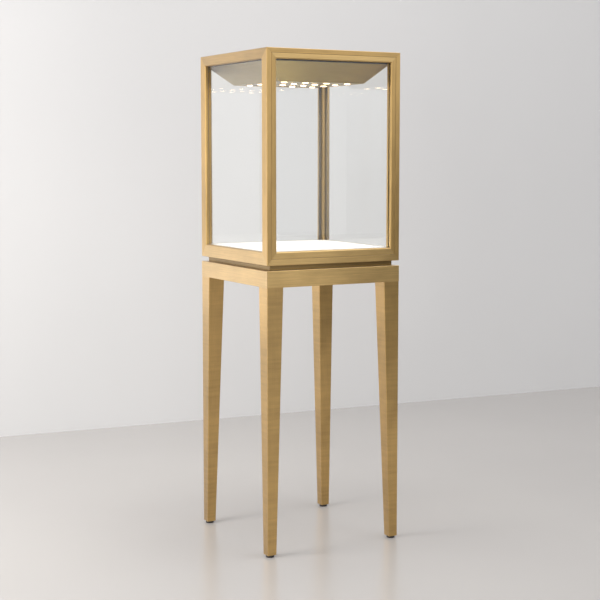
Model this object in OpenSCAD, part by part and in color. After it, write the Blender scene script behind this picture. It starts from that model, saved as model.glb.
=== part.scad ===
// Tower display case for jewellery: a glazed case with a pivoted front door, lit from a
// canopy under its roof, on a stand with four tapered legs.
// Millimetres, +Z up. The door faces -Y. The origin is on the floor under the centre.

/* [Overall] */
// Width of the case and the stand, left to right
case_w = 450; // [420:1:600]
// Depth of the case and the stand, front to back
case_d = 450; // [420:1:600]
// Height of the glazed case
case_h = 622; // [450:1:800]
// Height of the shadow gap between the stand and the case
gap_h = 15; // [10:0.5:25]
// How far the plinth in the shadow gap stands back from the outer faces
gap_inset = 16.5; // [12:0.5:20]

/* [Stand] */
// Height of the apron round the top of the stand
apron_h = 49; // [42:1:80]
// Width of the apron's folded top and bottom flanges
apron_flange_w = 40; // [38:1:44]
// Thickness of the leg and apron sheet
sheet_t = 2; // [1.5:0.1:2.5]
// Length of a leg below the apron
leg_l = 790; // [500:1:900]
// Width of a leg where it meets the apron
leg_top_w = 53; // [50:0.5:60]
// Width of a leg at its lower end
leg_foot_w = 29; // [28:0.5:34]
// Thickness of the plate that closes the top of a leg
leg_plate_t = 6; // [5:0.5:10]
// Thickness of the gusset plate in each corner of the apron
gusset_t = 5; // [4:0.5:8]
// Thickness of the cover under the apron
cover_t = 2; // [1.5:0.5:3]
// How far the edge of that cover stands back from the outer faces
cover_inset = 25; // [20:1:32]
// Width of the plinth bars in the shadow gap
plinth_w = 20; // [16:1:22]

/* [Levelling feet] */
// Visible height of a foot below its leg
foot_h = 7; // [5:0.5:12]
// Radius of a foot's pad
pad_r = 12.5; // [10:0.5:14]
// Radius of a foot's stem
stem_r = 4; // [3:0.5:5]
// Length of a foot's stem above its pad
stem_l = 22; // [18:1:24]
// Height of the threaded plug in the lower end of a leg
plug_h = 25; // [22:1:40]

/* [Case frame] */
// Width of the posts as the side and rear faces show them
post_w = 34; // [33:0.5:42]
// Width of the front posts beside the door
front_post_w = 15; // [14:0.5:18]
// Height of the top rails on the sides and the rear
top_rail_h = 31; // [29:0.5:40]
// Height of the bottom rails on the sides and the rear
bottom_rail_h = 39.5; // [36:0.5:50]
// Height of the head rail over the door
head_h = 14; // [12:0.5:15]
// Height of the sill rail under the door
sill_h = 18.5; // [16:0.5:20]
// Thickness of the frame's outer lip and of its flanges
lip_t = 10; // [9:0.5:12]
// Width of the bevel round every opening of the frame and the door
bevel_w = 3; // [1.5:0.5:4]
// Wall of the frame tubes
wall_t = 2; // [1.5:0.1:2.5]
// Thickness of the roof and floor sheets
pan_t = 2; // [1.5:0.5:3]

/* [Glazing] */
// Thickness of the glass
glass_t = 6; // [5:0.5:8]
// Thickness of the gasket between lip and glass
gasket_t = 1; // [0.8:0.1:2]
// Width of a gasket strip
gasket_w = 8; // [6:0.5:8]
// Side of the square glazing beads
bead_w = 9; // [8:0.5:10]
// How far a pane reaches behind the lip at its top edge
glass_lap = 7; // [5:0.5:9]
// Height of the rubber blocks that a pane stands on
block_h = 3; // [2:0.5:5]

/* [Door] */
// Gap between the door and the frame round it
door_gap = 1.8; // [1.8:0.1:3]
// Width of the door's stiles
stile_w = 15; // [14.5:0.5:20]
// Depth of the door's glass rebate, measured in from the sight edge
rebate_w = 9; // [8:0.5:9]
// Distance from the door's hinge edge to the pivot axis
pivot_in = 9; // [8:0.5:10]
// Distance from the front face to the pivot axis
pivot_back = 5; // [4.5:0.1:5.5]
// Radius of the pivot pins
pin_r = 3; // [2:0.25:3]
// Length of a pivot pin inside the door
pin_grip = 5.5; // [4:0.5:5.5]
// Length of a pivot pin inside its bush
pin_seat = 8; // [6:0.5:9]

/* [Canopy and lights] */
// Height from the case top down to the underside of the canopy
canopy_drop = 90.5; // [75:0.5:120]
// Half width of the canopy's underside
canopy_low_hw = 144.5; // [130:0.5:160]
// How far the canopy's slope starts below the edge of the top rails
shoulder_drop = 3; // [2:0.5:6]
// Height of the canopy's plumb rim
rim_h = 7; // [7:0.5:9]
// Sheet thickness of the canopy
canopy_t = 2; // [1.5:0.1:2.5]
// Thickness of the seal round the canopy's rim
seal_t = 2; // [1:0.5:2]
// Number of lights along each side of the grid
led_n = 4; // [3:1:4]
// Distance from one light to the next
led_pitch = 72; // [40:1:76]
// Radius of a light's lens
lens_r = 9; // [6:0.5:11]
// How far a lens stands below the light plate
lens_drop = 3; // [2:0.5:8]

/* [Deck] */
// Thickness of the white deck board
deck_t = 10; // [8:0.5:12]
// Width of the channels that carry the deck board
channel_w = 30; // [20:1:50]

/* [Fasteners and cord entry] */
// Radius of the bolts that hold the legs and the case
bolt_r = 4; // [3:0.5:4]
// Height of a bolt head
bolt_head_h = 5; // [4:0.5:6]
// Distance of the case bolts from the centre, front to back
case_bolt_y = 120; // [80:1:140]
// Radius of the hole in the cord grommet
cord_r = 4; // [3:0.25:5]
// Distance of the cord grommet in front of the rear face
cord_in = 65; // [54:1:100]

/* [Hidden] */

$fn = 48;

// Outer faces of the plan, and the heights of the main joints
hw = case_w / 2;
hd = case_d / 2;
z_apron = foot_h + leg_l;
z_gap = z_apron + apron_h;
z_case = z_gap + gap_h;
z_top = z_case + case_h;
z_deck = z_case + bottom_rail_h;
z_sight = z_top - top_rail_h;

// Clearances: bolts in plate, pressed parts, the running fit, pane edges, parts set side by side
bolt_clear = 0.3;
press_clear = 0.02;
run_clear = 0.05;
pane_clear = 0.5;
side_clear = 0.3;
// Overcut of every cutting shape
cut = 1;

// Depths behind an outer face: to the glass, behind the glass, and through the door
glass_out_d = lip_t + gasket_t;
glass_in_d = glass_out_d + glass_t;
door_t = glass_in_d + bead_w;

// Door: half width, bottom and top, heights of its rails, and the planes behind it
door_hw = hw - front_post_w - door_gap;
z_door0 = z_case + sill_h + door_gap;
z_door1 = z_top - head_h - door_gap;
door_top_h = top_rail_h - head_h - door_gap;
door_bottom_h = bottom_rail_h - sill_h - door_gap;
y_door_in = -hd + door_t;
// The hinge edge swings back past the door's inner face, so what stands behind it keeps clear
door_swing_back = norm([pivot_in, door_t - pivot_back]) - (door_t - pivot_back);
y_behind = y_door_in + door_swing_back + 0.7;
pivot_x = door_hw - pivot_in;
pivot_y = -hd + pivot_back;
bush_r = pin_r + 1;
bush_l = pin_seat + 1;
// Length of solid bar at the hinge end of the rails that hold pivot parts
hinge_solid = 40;

// Slopes of the mitres, so that the faces of three members meet in one corner without gaps
k_top = top_rail_h / post_w;
s_top = head_h / (front_post_w * k_top);
k_low = bottom_rail_h / post_w;
s_low = sill_h / (front_post_w * k_low);

// Canopy: half width at the rim, front and rear of the rim, and its heights
rim_hx = hw - glass_in_d - seal_t - 1;
rim_front = y_behind + 1.5 + seal_t;
rim_rear = hd - glass_in_d - seal_t - 1;
z_can = z_top - canopy_drop;
z_shoulder = z_sight - shoulder_drop;
z_rim = z_shoulder + rim_h;
can_lip_w = 8;
can_lip_t = 1.5;
z_plate = z_can + can_lip_t;
plate_t = 2;
z_board = z_plate + plate_t + 1.5;
rim_flange_w = 15;

// Fasteners
bolt_head_r = 1.6 * bolt_r;
bolt_nut_h = 6.5;
leg_bolt_near = 16;
leg_bolt_far = 37;
screw_r = 1.9;
grommet_r = cord_r + 4;
cord_y = hd - cord_in;

// Brass tones and the other finishes
brass = [0.80, 0.66, 0.42];
steel = [0.62, 0.63, 0.65];
black = [0.10, 0.10, 0.11];
pane = [0.78, 0.88, 0.86, 0.35];
white = [0.95, 0.95, 0.94];

// Corner signs in the order of the NODES list
FL = [-1, -1];
FR = [1, -1];
RR = [1, 1];
RL = [-1, 1];

// Outline of an L section with arms w1 x d1 and w2 x d2 from one corner, drawn in by i.
// The outer edge at the end of the second arm is bevelled.
function step_points(w1, d1, w2, d2, i = 0) = [
    [i, i], [w1 - i, i], [w1 - i, d1 - i], [w2 - i, d1 - i], [w2 - i, d2 - i],
    [i + bevel_at(i), d2 - i], [i, d2 - i - bevel_at(i)]
];

// Bevel of an outline that is drawn in by i: the hollow keeps the wall behind the bevel
function bevel_at(i) = i > 0 ? bevel_w - 1 : bevel_w;

// The same outline with its arms exchanged, so that the bevel is on the first arm
function turned(points) = [for (p = points) [p[1], p[0]]];

// An outline of a corner post with two equal arms, bevelled at the end of both
function corner_points(w, d, i = 0) = [
    [i, i], [w - i - bevel_at(i), i], [w - i, i + bevel_at(i)], [w - i, d - i], [d - i, d - i],
    [d - i, w - i], [i + bevel_at(i), w - i], [i, w - i - bevel_at(i)]
];

// Outline of a rectangle from one corner, drawn in by i
function rect_points(w, d, i = 0) = [[i, i], [w - i, i], [w - i, d - i], [i, d - i]];

// Outline of a bar from a0 to a1 that shortens by run0 and run1 from line b0 to line b1
function mitre_points(a0, a1, b0, b1, run0, run1) = [
    [a0, b0], [a1, b0], [a1 - run1, b1], [a0 + run0, b1]
];

// Width of a leg at height z
function leg_w(z) = leg_foot_w + (leg_top_w - leg_foot_w) * (z - foot_h) / leg_l;

// Box between two corners
module box(low, high) {
    translate(low) cube(high - low);
}

// A shape in one corner of the plan, drawn for the front left corner
module at_corner(c) {
    mirror([c[0] > 0 ? 1 : 0, 0, 0]) mirror([0, c[1] > 0 ? 1 : 0, 0]) children();
}

// A shape in all four corners of the plan
module at_corners() {
    for (c = [FL, FR, RR, RL]) at_corner(c) children();
}

// A tube along +Z, open at both ends, or closed for the length "solid" at its far end
module tube(len, outer, inner, solid = 0) {
    difference() {
        linear_extrude(len) polygon(outer);
        translate([0, 0, -cut])
            linear_extrude(solid > 0 ? len - solid + cut : len + 2 * cut) polygon(inner);
    }
}

// The same tube laid along +X: the outline's first axis is +Y and its second is +Z
module tube_x(len, outer, inner, solid = 0) {
    rotate([90, 0, 90]) tube(len, outer, inner, solid);
}

// The same tube laid along -Y: the outline's first axis is +X and its second is +Z
module tube_y(len, outer, inner) {
    rotate([90, 0, 0]) tube(len, outer, inner);
}

// Prisms through the whole case, which cut the mitres
module prism_xz(points) {
    translate([0, hd + cut, 0])
        rotate([90, 0, 0]) linear_extrude(case_d + 2 * cut) polygon(points);
}

module prism_yz(points) {
    translate([-hw - cut, 0, 0])
        rotate([90, 0, 90]) linear_extrude(case_w + 2 * cut) polygon(points);
}

module prism_xy(points, z0, z1) {
    translate([0, 0, z0]) linear_extrude(z1 - z0) polygon(points);
}

// A hole along Z
module hole(x, y, z0, z1, r) {
    translate([x, y, z0 - cut]) cylinder(r = r, h = z1 - z0 + 2 * cut);
}

// A bolt with a hexagon head on top of z_head, pointing down
module bolt(x, y, z_head, len) {
    translate([x, y, z_head - len]) cylinder(r = bolt_r, h = len);
    translate([x, y, z_head]) cylinder(r = bolt_head_r, h = bolt_head_h, $fn = 6);
}

// Stand: legs

// A leg has two plumb outer faces and two inner faces that taper to the floor. Front left.
module leg_shape(z0, z1, inset) {
    intersection() {
        prism_xz([
            [-hw + inset, z0], [-hw + inset, z1],
            [-hw + leg_w(z1) - inset, z1], [-hw + leg_w(z0) - inset, z0]
        ]);
        prism_yz([
            [-hd + inset, z0], [-hd + inset, z1],
            [-hd + leg_w(z1) - inset, z1], [-hd + leg_w(z0) - inset, z0]
        ]);
    }
}

module leg_bolt_places() {
    for (p = [[leg_bolt_near, leg_bolt_far], [leg_bolt_far, leg_bolt_near]])
        translate([-hw + p[0], -hd + p[1], 0]) children();
}

module leg(c) {
    color(brass) at_corner(c) difference() {
        leg_shape(foot_h, z_apron, 0);
        leg_shape(foot_h - cut, z_apron - leg_plate_t, sheet_t);
        leg_bolt_places() hole(0, 0, z_apron - leg_plate_t, z_apron, bolt_r + run_clear);
    }
}

module leg_plugs() {
    plug_w = leg_foot_w - 2 * sheet_t - 2 * side_clear;
    color(steel) at_corners() difference() {
        translate([-hw + leg_foot_w / 2, -hd + leg_foot_w / 2, foot_h + side_clear])
            translate([-plug_w / 2, -plug_w / 2, 0]) cube([plug_w, plug_w, plug_h]);
        hole(-hw + leg_foot_w / 2, -hd + leg_foot_w / 2, foot_h, foot_h + plug_h,
            stem_r + run_clear);
    }
}

// A levelling foot: a round pad with eased edges on a stem
module foot(c) {
    pad_h = foot_h - side_clear;
    ease = 1.2;
    color(black) at_corner(c)
        translate([-hw + leg_foot_w / 2, -hd + leg_foot_w / 2, 0])
            rotate_extrude() polygon([
                [0, 0], [pad_r - ease, 0], [pad_r, ease], [pad_r, pad_h - ease],
                [pad_r - ease, pad_h], [stem_r, pad_h], [stem_r, pad_h + stem_l],
                [0, pad_h + stem_l]
            ]);
}

// Stand: apron

// A rail of the apron is a folded channel, open inwards, with mitred ends. The trapezoid's
// long side is its outer face.
module apron_channel(plan, hollow) {
    difference() {
        prism_xy(plan, z_apron, z_gap);
        hollow_box(hollow, z_apron + sheet_t, z_gap - sheet_t);
    }
}

module hollow_box(hollow, z0, z1) {
    box([hollow[0][0], hollow[0][1], z0], [hollow[1][0], hollow[1][1], z1]);
}

// The rail along the front, and its copy along the rear
module apron_x(side) {
    color(brass) mirror([0, side > 0 ? 1 : 0, 0]) difference() {
        apron_channel(
            mitre_points(-hw, hw, -hd, -hd + apron_flange_w, apron_flange_w, apron_flange_w),
            [[-hw - cut, -hd + sheet_t], [hw + cut, -hd + apron_flange_w + cut]]
        );
        for (m = [0, 1])
            mirror([m, 0, 0])
                hole(-hw + leg_bolt_far, -hd + leg_bolt_near, z_apron, z_apron + sheet_t,
                    bolt_r + bolt_clear);
    }
}

// The rail along the left, and its copy along the right, with weld nuts for the case bolts
module apron_y(side) {
    x_bolt = -hw + gap_inset + plinth_w / 2;
    plan = [
        [-hw, -hd], [-hw, hd],
        [-hw + apron_flange_w, hd - apron_flange_w], [-hw + apron_flange_w, -hd + apron_flange_w]
    ];
    color(brass) mirror([side > 0 ? 1 : 0, 0, 0]) difference() {
        union() {
            apron_channel(
                plan, [[-hw + sheet_t, -hd - cut], [-hw + apron_flange_w + cut, hd + cut]]
            );
            for (y = [-case_bolt_y, case_bolt_y])
                translate([x_bolt, y, z_gap - sheet_t - bolt_nut_h])
                    cylinder(r = bolt_head_r, h = bolt_nut_h + sheet_t / 2, $fn = 6);
        }
        for (y = [-case_bolt_y, case_bolt_y])
            hole(x_bolt, y, z_gap - sheet_t - bolt_nut_h, z_gap, bolt_r + run_clear);
        for (m = [0, 1])
            mirror([0, m, 0])
                hole(-hw + leg_bolt_near, -hd + leg_bolt_far, z_apron, z_apron + sheet_t,
                    bolt_r + bolt_clear);
    }
}

module corner_gussets() {
    edge = sheet_t + side_clear;
    color(steel) at_corners() difference() {
        box([-hw + edge, -hd + edge, z_apron + sheet_t],
            [-hw + leg_top_w, -hd + leg_top_w, z_apron + sheet_t + gusset_t]);
        leg_bolt_places()
            hole(0, 0, z_apron, z_apron + sheet_t + gusset_t, bolt_r + bolt_clear);
    }
}

module leg_bolts() {
    color(steel) at_corners() leg_bolt_places()
        bolt(0, 0, z_apron + sheet_t + gusset_t, sheet_t + gusset_t + leg_plate_t - side_clear);
}

// Cover under the apron, notched round the legs, with a hole for the cord grommet
cover_screws_at = [
    for (s = [-1, 1], t = [-0.5, 0.5]) [s * (hw - cover_inset - 8), t * hd],
    for (s = [-1, 1], t = [-0.5, 0.5]) [t * hw, s * (hd - cover_inset - 8)]
];

module base_cover() {
    notch = leg_top_w + side_clear;
    color(brass) difference() {
        box([-hw + cover_inset, -hd + cover_inset, z_apron - cover_t],
            [hw - cover_inset, hd - cover_inset, z_apron]);
        at_corners() box([-hw, -hd, z_apron - cover_t - cut],
            [-hw + notch, -hd + notch, z_apron + cut]);
        hole(0, cord_y, z_apron - cover_t, z_apron, grommet_r + press_clear);
        for (p = cover_screws_at)
            hole(p[0], p[1], z_apron - cover_t, z_apron, screw_r + run_clear);
    }
}

module cover_screws() {
    color(steel) for (p = cover_screws_at) translate([p[0], p[1], z_apron - cover_t]) {
        cylinder(r = screw_r, h = cover_t);
        mirror([0, 0, 1]) cylinder(r1 = 1.9 * screw_r, r2 = 1.3 * screw_r, h = 1.6);
    }
}

module cord_grommet() {
    rim_r = grommet_r + 3;
    rim_t = 2.5;
    color(black) translate([0, cord_y, z_apron - cover_t - rim_t])
        rotate_extrude() polygon([
            [cord_r, 0], [rim_r - 1, 0], [rim_r, 1], [rim_r, rim_t], [grommet_r, rim_t],
            [grommet_r, rim_t + cover_t], [rim_r, rim_t + cover_t],
            [rim_r - 1, 2 * rim_t + cover_t], [cord_r, 2 * rim_t + cover_t]
        ]);
}

// Power supply for the lights, on the cover: a finned box with two end flanges
module led_driver() {
    l = 150;
    w = 44;
    h = 26;
    flange = 12;
    fin_n = 7;
    color(black) translate([0, 40, z_apron]) difference() {
        union() {
            translate([-l / 2, -w / 2, 0]) cube([l, w, h]);
            translate([-l / 2 - flange, -w / 2, 0]) cube([l + 2 * flange, w, 3]);
        }
        for (i = [0 : fin_n - 1])
            translate([-l / 2 - cut, -w / 2 + w * (i + 0.5) / fin_n - 1.2, h - 2])
                cube([l + 2 * cut, 2.4, 3]);
        for (s = [-1, 1])
            hole(s * (l / 2 + flange / 2), 0, 0, 3, screw_r + bolt_clear);
    }
}

// Plinth bars in the shadow gap: square tubes mitred in plan
module plinth_bars() {
    px = hw - gap_inset;
    py = hd - gap_inset;
    x_bolt = px - plinth_w / 2;
    color(brass) {
        for (m = [0, 1]) mirror([0, m, 0]) intersection() {
            translate([-px, -py, z_gap])
                tube_x(2 * px, rect_points(plinth_w, gap_h), rect_points(plinth_w, gap_h, wall_t));
            prism_xy(mitre_points(-px, px, -py, -py + plinth_w, plinth_w, plinth_w),
                z_gap - cut, z_case + cut);
        }
        for (m = [0, 1]) mirror([m, 0, 0]) difference() {
            intersection() {
                translate([-px, py, z_gap])
                    tube_y(2 * py, rect_points(plinth_w, gap_h),
                        rect_points(plinth_w, gap_h, wall_t));
                prism_xy([[-px, -py], [-px, py], [-px + plinth_w, py - plinth_w],
                    [-px + plinth_w, -py + plinth_w]], z_gap - cut, z_case + cut);
            }
            for (y = [-case_bolt_y, case_bolt_y])
                hole(-x_bolt, y, z_gap, z_case, bolt_r + bolt_clear);
        }
    }
}

module case_bolts() {
    x_bolt = hw - gap_inset - plinth_w / 2;
    z_head = z_case + lip_t + pan_t;
    color(steel) for (x = [-x_bolt, x_bolt], y = [-case_bolt_y, case_bolt_y])
        bolt(x, y, z_head, z_head - (z_gap - sheet_t - bolt_nut_h));
}

// Case frame

// What all members of the left front corner are cut with
module post_cut(s_up, s_down) {
    intersection() {
        prism_xz([
            [-hw, z_case], [-hw, z_top],
            [-hw + post_w, z_top - post_w * k_top * s_up],
            [-hw + post_w, z_case + post_w * k_low * s_down]
        ]);
        prism_yz([
            [-hd, z_case], [-hd, z_top],
            [-hd + post_w, z_top - top_rail_h], [-hd + post_w, z_case + bottom_rail_h]
        ]);
    }
}

// A front post: a block beside the door, with a lip that the side pane stands behind
module front_post(c) {
    color(brass) at_corner(c) intersection() {
        translate([-hw, -hd, z_case]) tube(
            case_h,
            step_points(front_post_w, door_t + 1, lip_t, post_w),
            step_points(front_post_w, door_t + 1, lip_t, post_w, wall_t)
        );
        post_cut(s_top, s_low);
    }
}

// A rear post: a corner section with a lip on both faces
module rear_post(c) {
    color(brass) at_corner(c) intersection() {
        translate([-hw, -hd, z_case]) tube(
            case_h, corner_points(post_w, lip_t), corner_points(post_w, lip_t, wall_t)
        );
        post_cut(1, 1);
    }
}

// A side rail, drawn at the left: a lip and a flange, upright or upside down
module side_rail(h, top) {
    z0 = top ? z_top : z_case;
    z1 = top ? z_top - h : z_case + h;
    s = top ? s_top : s_low;
    intersection() {
        translate([-hw, hd, z0]) mirror([0, 0, top ? 1 : 0]) tube_y(
            case_d,
            step_points(post_w, lip_t, lip_t, h),
            step_points(post_w, lip_t, lip_t, h, wall_t)
        );
        prism_yz(mitre_points(-hd, hd, z0, z1, post_w, post_w));
        prism_xy([
            [-hw, -hd], [-hw, hd], [-hw + post_w, hd - post_w], [-hw + post_w, -hd + post_w * s]
        ], min(z0, z1) - cut, max(z0, z1) + cut);
    }
}

// The rear rail, with the same section
module rear_rail(h, top) {
    z0 = top ? z_top : z_case;
    z1 = top ? z_top - h : z_case + h;
    color(brass) intersection() {
        translate([-hw, hd, z0]) mirror([0, 1, 0]) mirror([0, 0, top ? 1 : 0]) tube_x(
            case_w,
            step_points(post_w, lip_t, lip_t, h),
            step_points(post_w, lip_t, lip_t, h, wall_t)
        );
        prism_xz(mitre_points(-hw, hw, z0, z1, post_w, post_w));
        prism_xy(mitre_points(-hw, hw, hd, hd - post_w, post_w, post_w),
            min(z0, z1) - cut, max(z0, z1) + cut);
    }
}

// The head rail over the door and the sill rail under it: flat tubes, solid at the hinge end
module front_rail(h, top) {
    z0 = top ? z_top : z_case;
    z1 = top ? z_top - h : z_case + h;
    s = top ? s_top : s_low;
    run = post_w / s;
    z_face = top ? z_top - h : z_case + h;
    z_end = top ? z_face + bush_l : z_face - bush_l;
    color(brass) difference() {
        intersection() {
            translate([-hw, -hd, z0]) mirror([0, 0, top ? 1 : 0]) tube_x(
                case_w, rect_points(post_w, h), rect_points(post_w, h, wall_t), hinge_solid
            );
            prism_xz(mitre_points(-hw, hw, z0, z1, front_post_w, front_post_w));
            prism_xy(mitre_points(-hw, hw, -hd, -hd + post_w, run, run),
                min(z0, z1) - cut, max(z0, z1) + cut);
        }
        translate([pivot_x, pivot_y, top ? z_face - cut : z_end])
            cylinder(r = bush_r + press_clear, h = bush_l + cut);
    }
}

module bottom_rail_side(side) {
    x_bolt = -hw + gap_inset + plinth_w / 2;
    color(brass) mirror([side > 0 ? 1 : 0, 0, 0]) difference() {
        side_rail(bottom_rail_h, false);
        for (y = [-case_bolt_y, case_bolt_y])
            hole(x_bolt, y, z_case, z_case + lip_t, bolt_r + bolt_clear);
    }
}

module top_rail_side(side) {
    color(brass) mirror([side > 0 ? 1 : 0, 0, 0]) side_rail(top_rail_h, true);
}

// Roof: a folded lid, flush with the frame, whose flange lies under the side and rear rails
module roof_panel() {
    x_in = hw - post_w - pane_clear;
    y_in = hd - post_w - pane_clear;
    lap = 12;
    z_under = z_top - lip_t;
    color(brass) difference() {
        union() {
            box([-x_in, -y_in, z_under - pan_t], [x_in, y_in, z_top]);
            box([-x_in - lap, -y_in, z_under - pan_t], [x_in + lap, y_in + lap, z_under]);
        }
        box([-x_in + pan_t, -y_in + pan_t, z_under - pan_t - cut],
            [x_in - pan_t, y_in - pan_t, z_top - pan_t]);
    }
}

module floor_pan() {
    x_in = hw - glass_in_d - 1.5;
    color(steel) difference() {
        box([-x_in, -hd + post_w + pane_clear, z_case + lip_t],
            [x_in, hd - glass_in_d - 1.5, z_case + lip_t + pan_t]);
        for (x = [-1, 1], y = [-case_bolt_y, case_bolt_y])
            hole(x * (hw - gap_inset - plinth_w / 2), y, z_case + lip_t, z_case + lip_t + pan_t,
                bolt_r + bolt_clear);
    }
}

// Glazing

// Heights of the fixed panes, and where the side panes start and end
z_pane0 = z_case + lip_t + block_h;
z_pane1 = z_sight + glass_lap;
y_pane0 = -hd + door_t + 1 + pane_clear;
y_pane1 = hd - glass_in_d - pane_clear;
x_rear_pane = hw - glass_out_d - pane_clear;

module glass_side(side) {
    color(pane) mirror([side > 0 ? 1 : 0, 0, 0])
        box([-hw + glass_out_d, y_pane0, z_pane0], [-hw + glass_in_d, y_pane1, z_pane1]);
}

module glass_rear() {
    color(pane)
        box([-x_rear_pane, hd - glass_in_d, z_pane0], [x_rear_pane, hd - glass_out_d, z_pane1]);
}

// Four strips of gasket round a pane between a0 and a1, laid in the plane of the first two
// axes, one gasket thick. The inner edge stands a little proud of the lip.
module gasket_frame(a0, a1, z0, z1, sight0, sight1) {
    proud = 1;
    in0 = sight0 + proud;
    in1 = sight1 - proud;
    z_up = z_sight - proud;
    box([a0, 0, z0], [in0, gasket_t, z1]);
    box([in1, 0, z0], [a1, gasket_t, z1]);
    box([in0, 0, z_up], [in1, gasket_t, z1]);
    box([in0, 0, z_deck - gasket_w], [in1, gasket_t, z_deck]);
}

module glass_gaskets() {
    color(black) {
        for (m = [0, 1]) mirror([m, 0, 0])
            translate([-hw + lip_t, 0, 0]) mirror([1, -1, 0])
                gasket_frame(y_pane0, hd - post_w + gasket_w, z_pane0, z_pane1,
                    -hd + post_w, hd - post_w);
        translate([0, hd - lip_t - gasket_t, 0])
            gasket_frame(-hw + post_w - gasket_w, hw - post_w + gasket_w, z_pane0, z_pane1,
                -hw + post_w, hw - post_w);
    }
}

module setting_blocks() {
    block_l = 40;
    color(black) {
        for (s = [-1, 1], t = [-0.5, 0.5]) translate([0, t * hd, 0])
            box([s > 0 ? hw - glass_in_d : -hw + glass_out_d, -block_l / 2, z_case + lip_t],
                [s > 0 ? hw - glass_out_d : -hw + glass_in_d, block_l / 2, z_pane0]);
        for (t = [-0.5, 0.5]) translate([t * hw, 0, 0])
            box([-block_l / 2, hd - glass_in_d, z_case + lip_t],
                [block_l / 2, hd - glass_out_d, z_pane0]);
    }
}

// The four upright bars in the inside corners, with sides grown by g
module corner_bars(g, z0, z1) {
    x0 = hw - glass_in_d - bead_w - g;
    x1 = hw - glass_in_d + g;
    for (m = [0, 1]) mirror([m, 0, 0]) {
        box([x0, y_behind - g, z0], [x1, -hd + post_w + pane_clear + g, z1]);
        box([x0, hd - glass_in_d - bead_w - g, z0], [x1, hd - glass_in_d + g, z1]);
    }
}

// Upright beads, from the floor pan through the deck up to the slope of the canopy
module corner_beads() {
    color(brass) difference() {
        corner_bars(0, z_case + lip_t + pan_t, z_shoulder - side_clear);
        canopy_body(pane_clear, z_can, z_shoulder);
    }
}

// Deck

// The deck, notched round the beads
module deck_board() {
    edge = glass_in_d + 1;
    color(white) difference() {
        box([-hw + edge, y_behind, z_deck - deck_t], [hw - edge, hd - edge, z_deck]);
        corner_bars(side_clear, z_deck - deck_t - cut, z_deck + cut);
    }
}

// Two channels that carry the deck board on the floor pan
module deck_channels() {
    z0 = z_case + lip_t + pan_t;
    z1 = z_deck - deck_t;
    y0 = y_behind + 8;
    y1 = hd - glass_in_d - 8;
    color(steel) for (x = [-hw / 2, hw / 2]) difference() {
        box([x - channel_w / 2, y0, z0], [x + channel_w / 2, y1, z1]);
        box([x - channel_w / 2 + pan_t, y0 - cut, z0 - cut],
            [x + channel_w / 2 - pan_t, y1 + cut, z1 - pan_t]);
    }
}

// Canopy and lights

// The canopy's outline, grown by g: a pyramid cut short, with a plumb rim above its shoulder
module canopy_body(g, z0, z1) {
    intersection() {
        prism_xz([
            [-canopy_low_hw - g, z_can], [canopy_low_hw + g, z_can],
            [rim_hx + g, z_shoulder], [rim_hx + g, z_rim], [-rim_hx - g, z_rim],
            [-rim_hx - g, z_shoulder]
        ]);
        prism_yz([
            [-canopy_low_hw - g, z_can], [canopy_low_hw + g, z_can],
            [rim_rear + g, z_shoulder], [rim_rear + g, z_rim], [rim_front - g, z_rim],
            [rim_front - g, z_shoulder]
        ]);
        box([-hw, -hd, z0], [hw, hd, z1]);
    }
}

// Sheet shell of the canopy, with a lip for the light plate and a flange round its top
module canopy_shell() {
    low = canopy_low_hw - can_lip_w;
    color(brass) difference() {
        canopy_body(0, z_can, z_rim);
        canopy_body(-canopy_t, z_plate, z_rim - canopy_t);
        box([-low, -low, z_can - cut], [low, low, z_plate + cut]);
        box([-rim_hx + rim_flange_w, rim_front + rim_flange_w, z_rim - canopy_t - cut],
            [rim_hx - rim_flange_w, rim_rear - rim_flange_w, z_rim + cut]);
    }
}

module led_places() {
    for (i = [0 : led_n - 1], j = [0 : led_n - 1])
        translate([(i - (led_n - 1) / 2) * led_pitch, (j - (led_n - 1) / 2) * led_pitch, 0])
            children();
}

module canopy_plate() {
    edge = canopy_low_hw - canopy_t;
    color(brass) difference() {
        box([-edge, -edge, z_plate], [edge, edge, z_plate + plate_t]);
        led_places() hole(0, 0, z_plate, z_plate + plate_t, lens_r + 1.6);
    }
}

// Bezel: a collar in the plate with a thin flange under it
module led_bezels() {
    bore_r = lens_r + 0.2;
    collar_r = lens_r + 1.5;
    flange_r = lens_r + 3.4;
    flange_t = 1.2;
    color(brass) led_places() translate([0, 0, z_plate - flange_t])
        rotate_extrude() polygon([
            [bore_r, 0], [flange_r - 0.5, 0], [flange_r, 0.5], [flange_r, flange_t],
            [collar_r, flange_t], [collar_r, flange_t + plate_t + 1], [bore_r, flange_t + plate_t + 1]
        ]);
}

// Lens: a frosted plug under the light board, with an eased lower edge
module led_lenses() {
    ease = 2;
    l = z_board - z_plate + lens_drop;
    color([1, 0.98, 0.92]) led_places() translate([0, 0, z_plate - lens_drop])
        rotate_extrude() polygon([
            [0, 0], [lens_r - ease, 0], [lens_r, ease], [lens_r, l], [0, l]
        ]);
}

module led_board() {
    half = led_pitch * (led_n - 1) / 2 + 2 * lens_r;
    color(white) box([-half, -half, z_board], [half, half, z_board + 1.6]);
}

// Strips round the rim that keep dust out of the gap beside the panes and the door
module canopy_seal() {
    h = rim_h - 1;
    color(black) {
        for (m = [0, 1]) mirror([m, 0, 0])
            box([rim_hx, rim_front - seal_t, z_shoulder], [rim_hx + seal_t, rim_rear + seal_t,
                z_shoulder + h]);
        box([-rim_hx, rim_front - seal_t, z_shoulder], [rim_hx, rim_front, z_shoulder + h]);
        box([-rim_hx, rim_rear, z_shoulder], [rim_hx, rim_rear + seal_t, z_shoulder + h]);
    }
}

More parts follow.
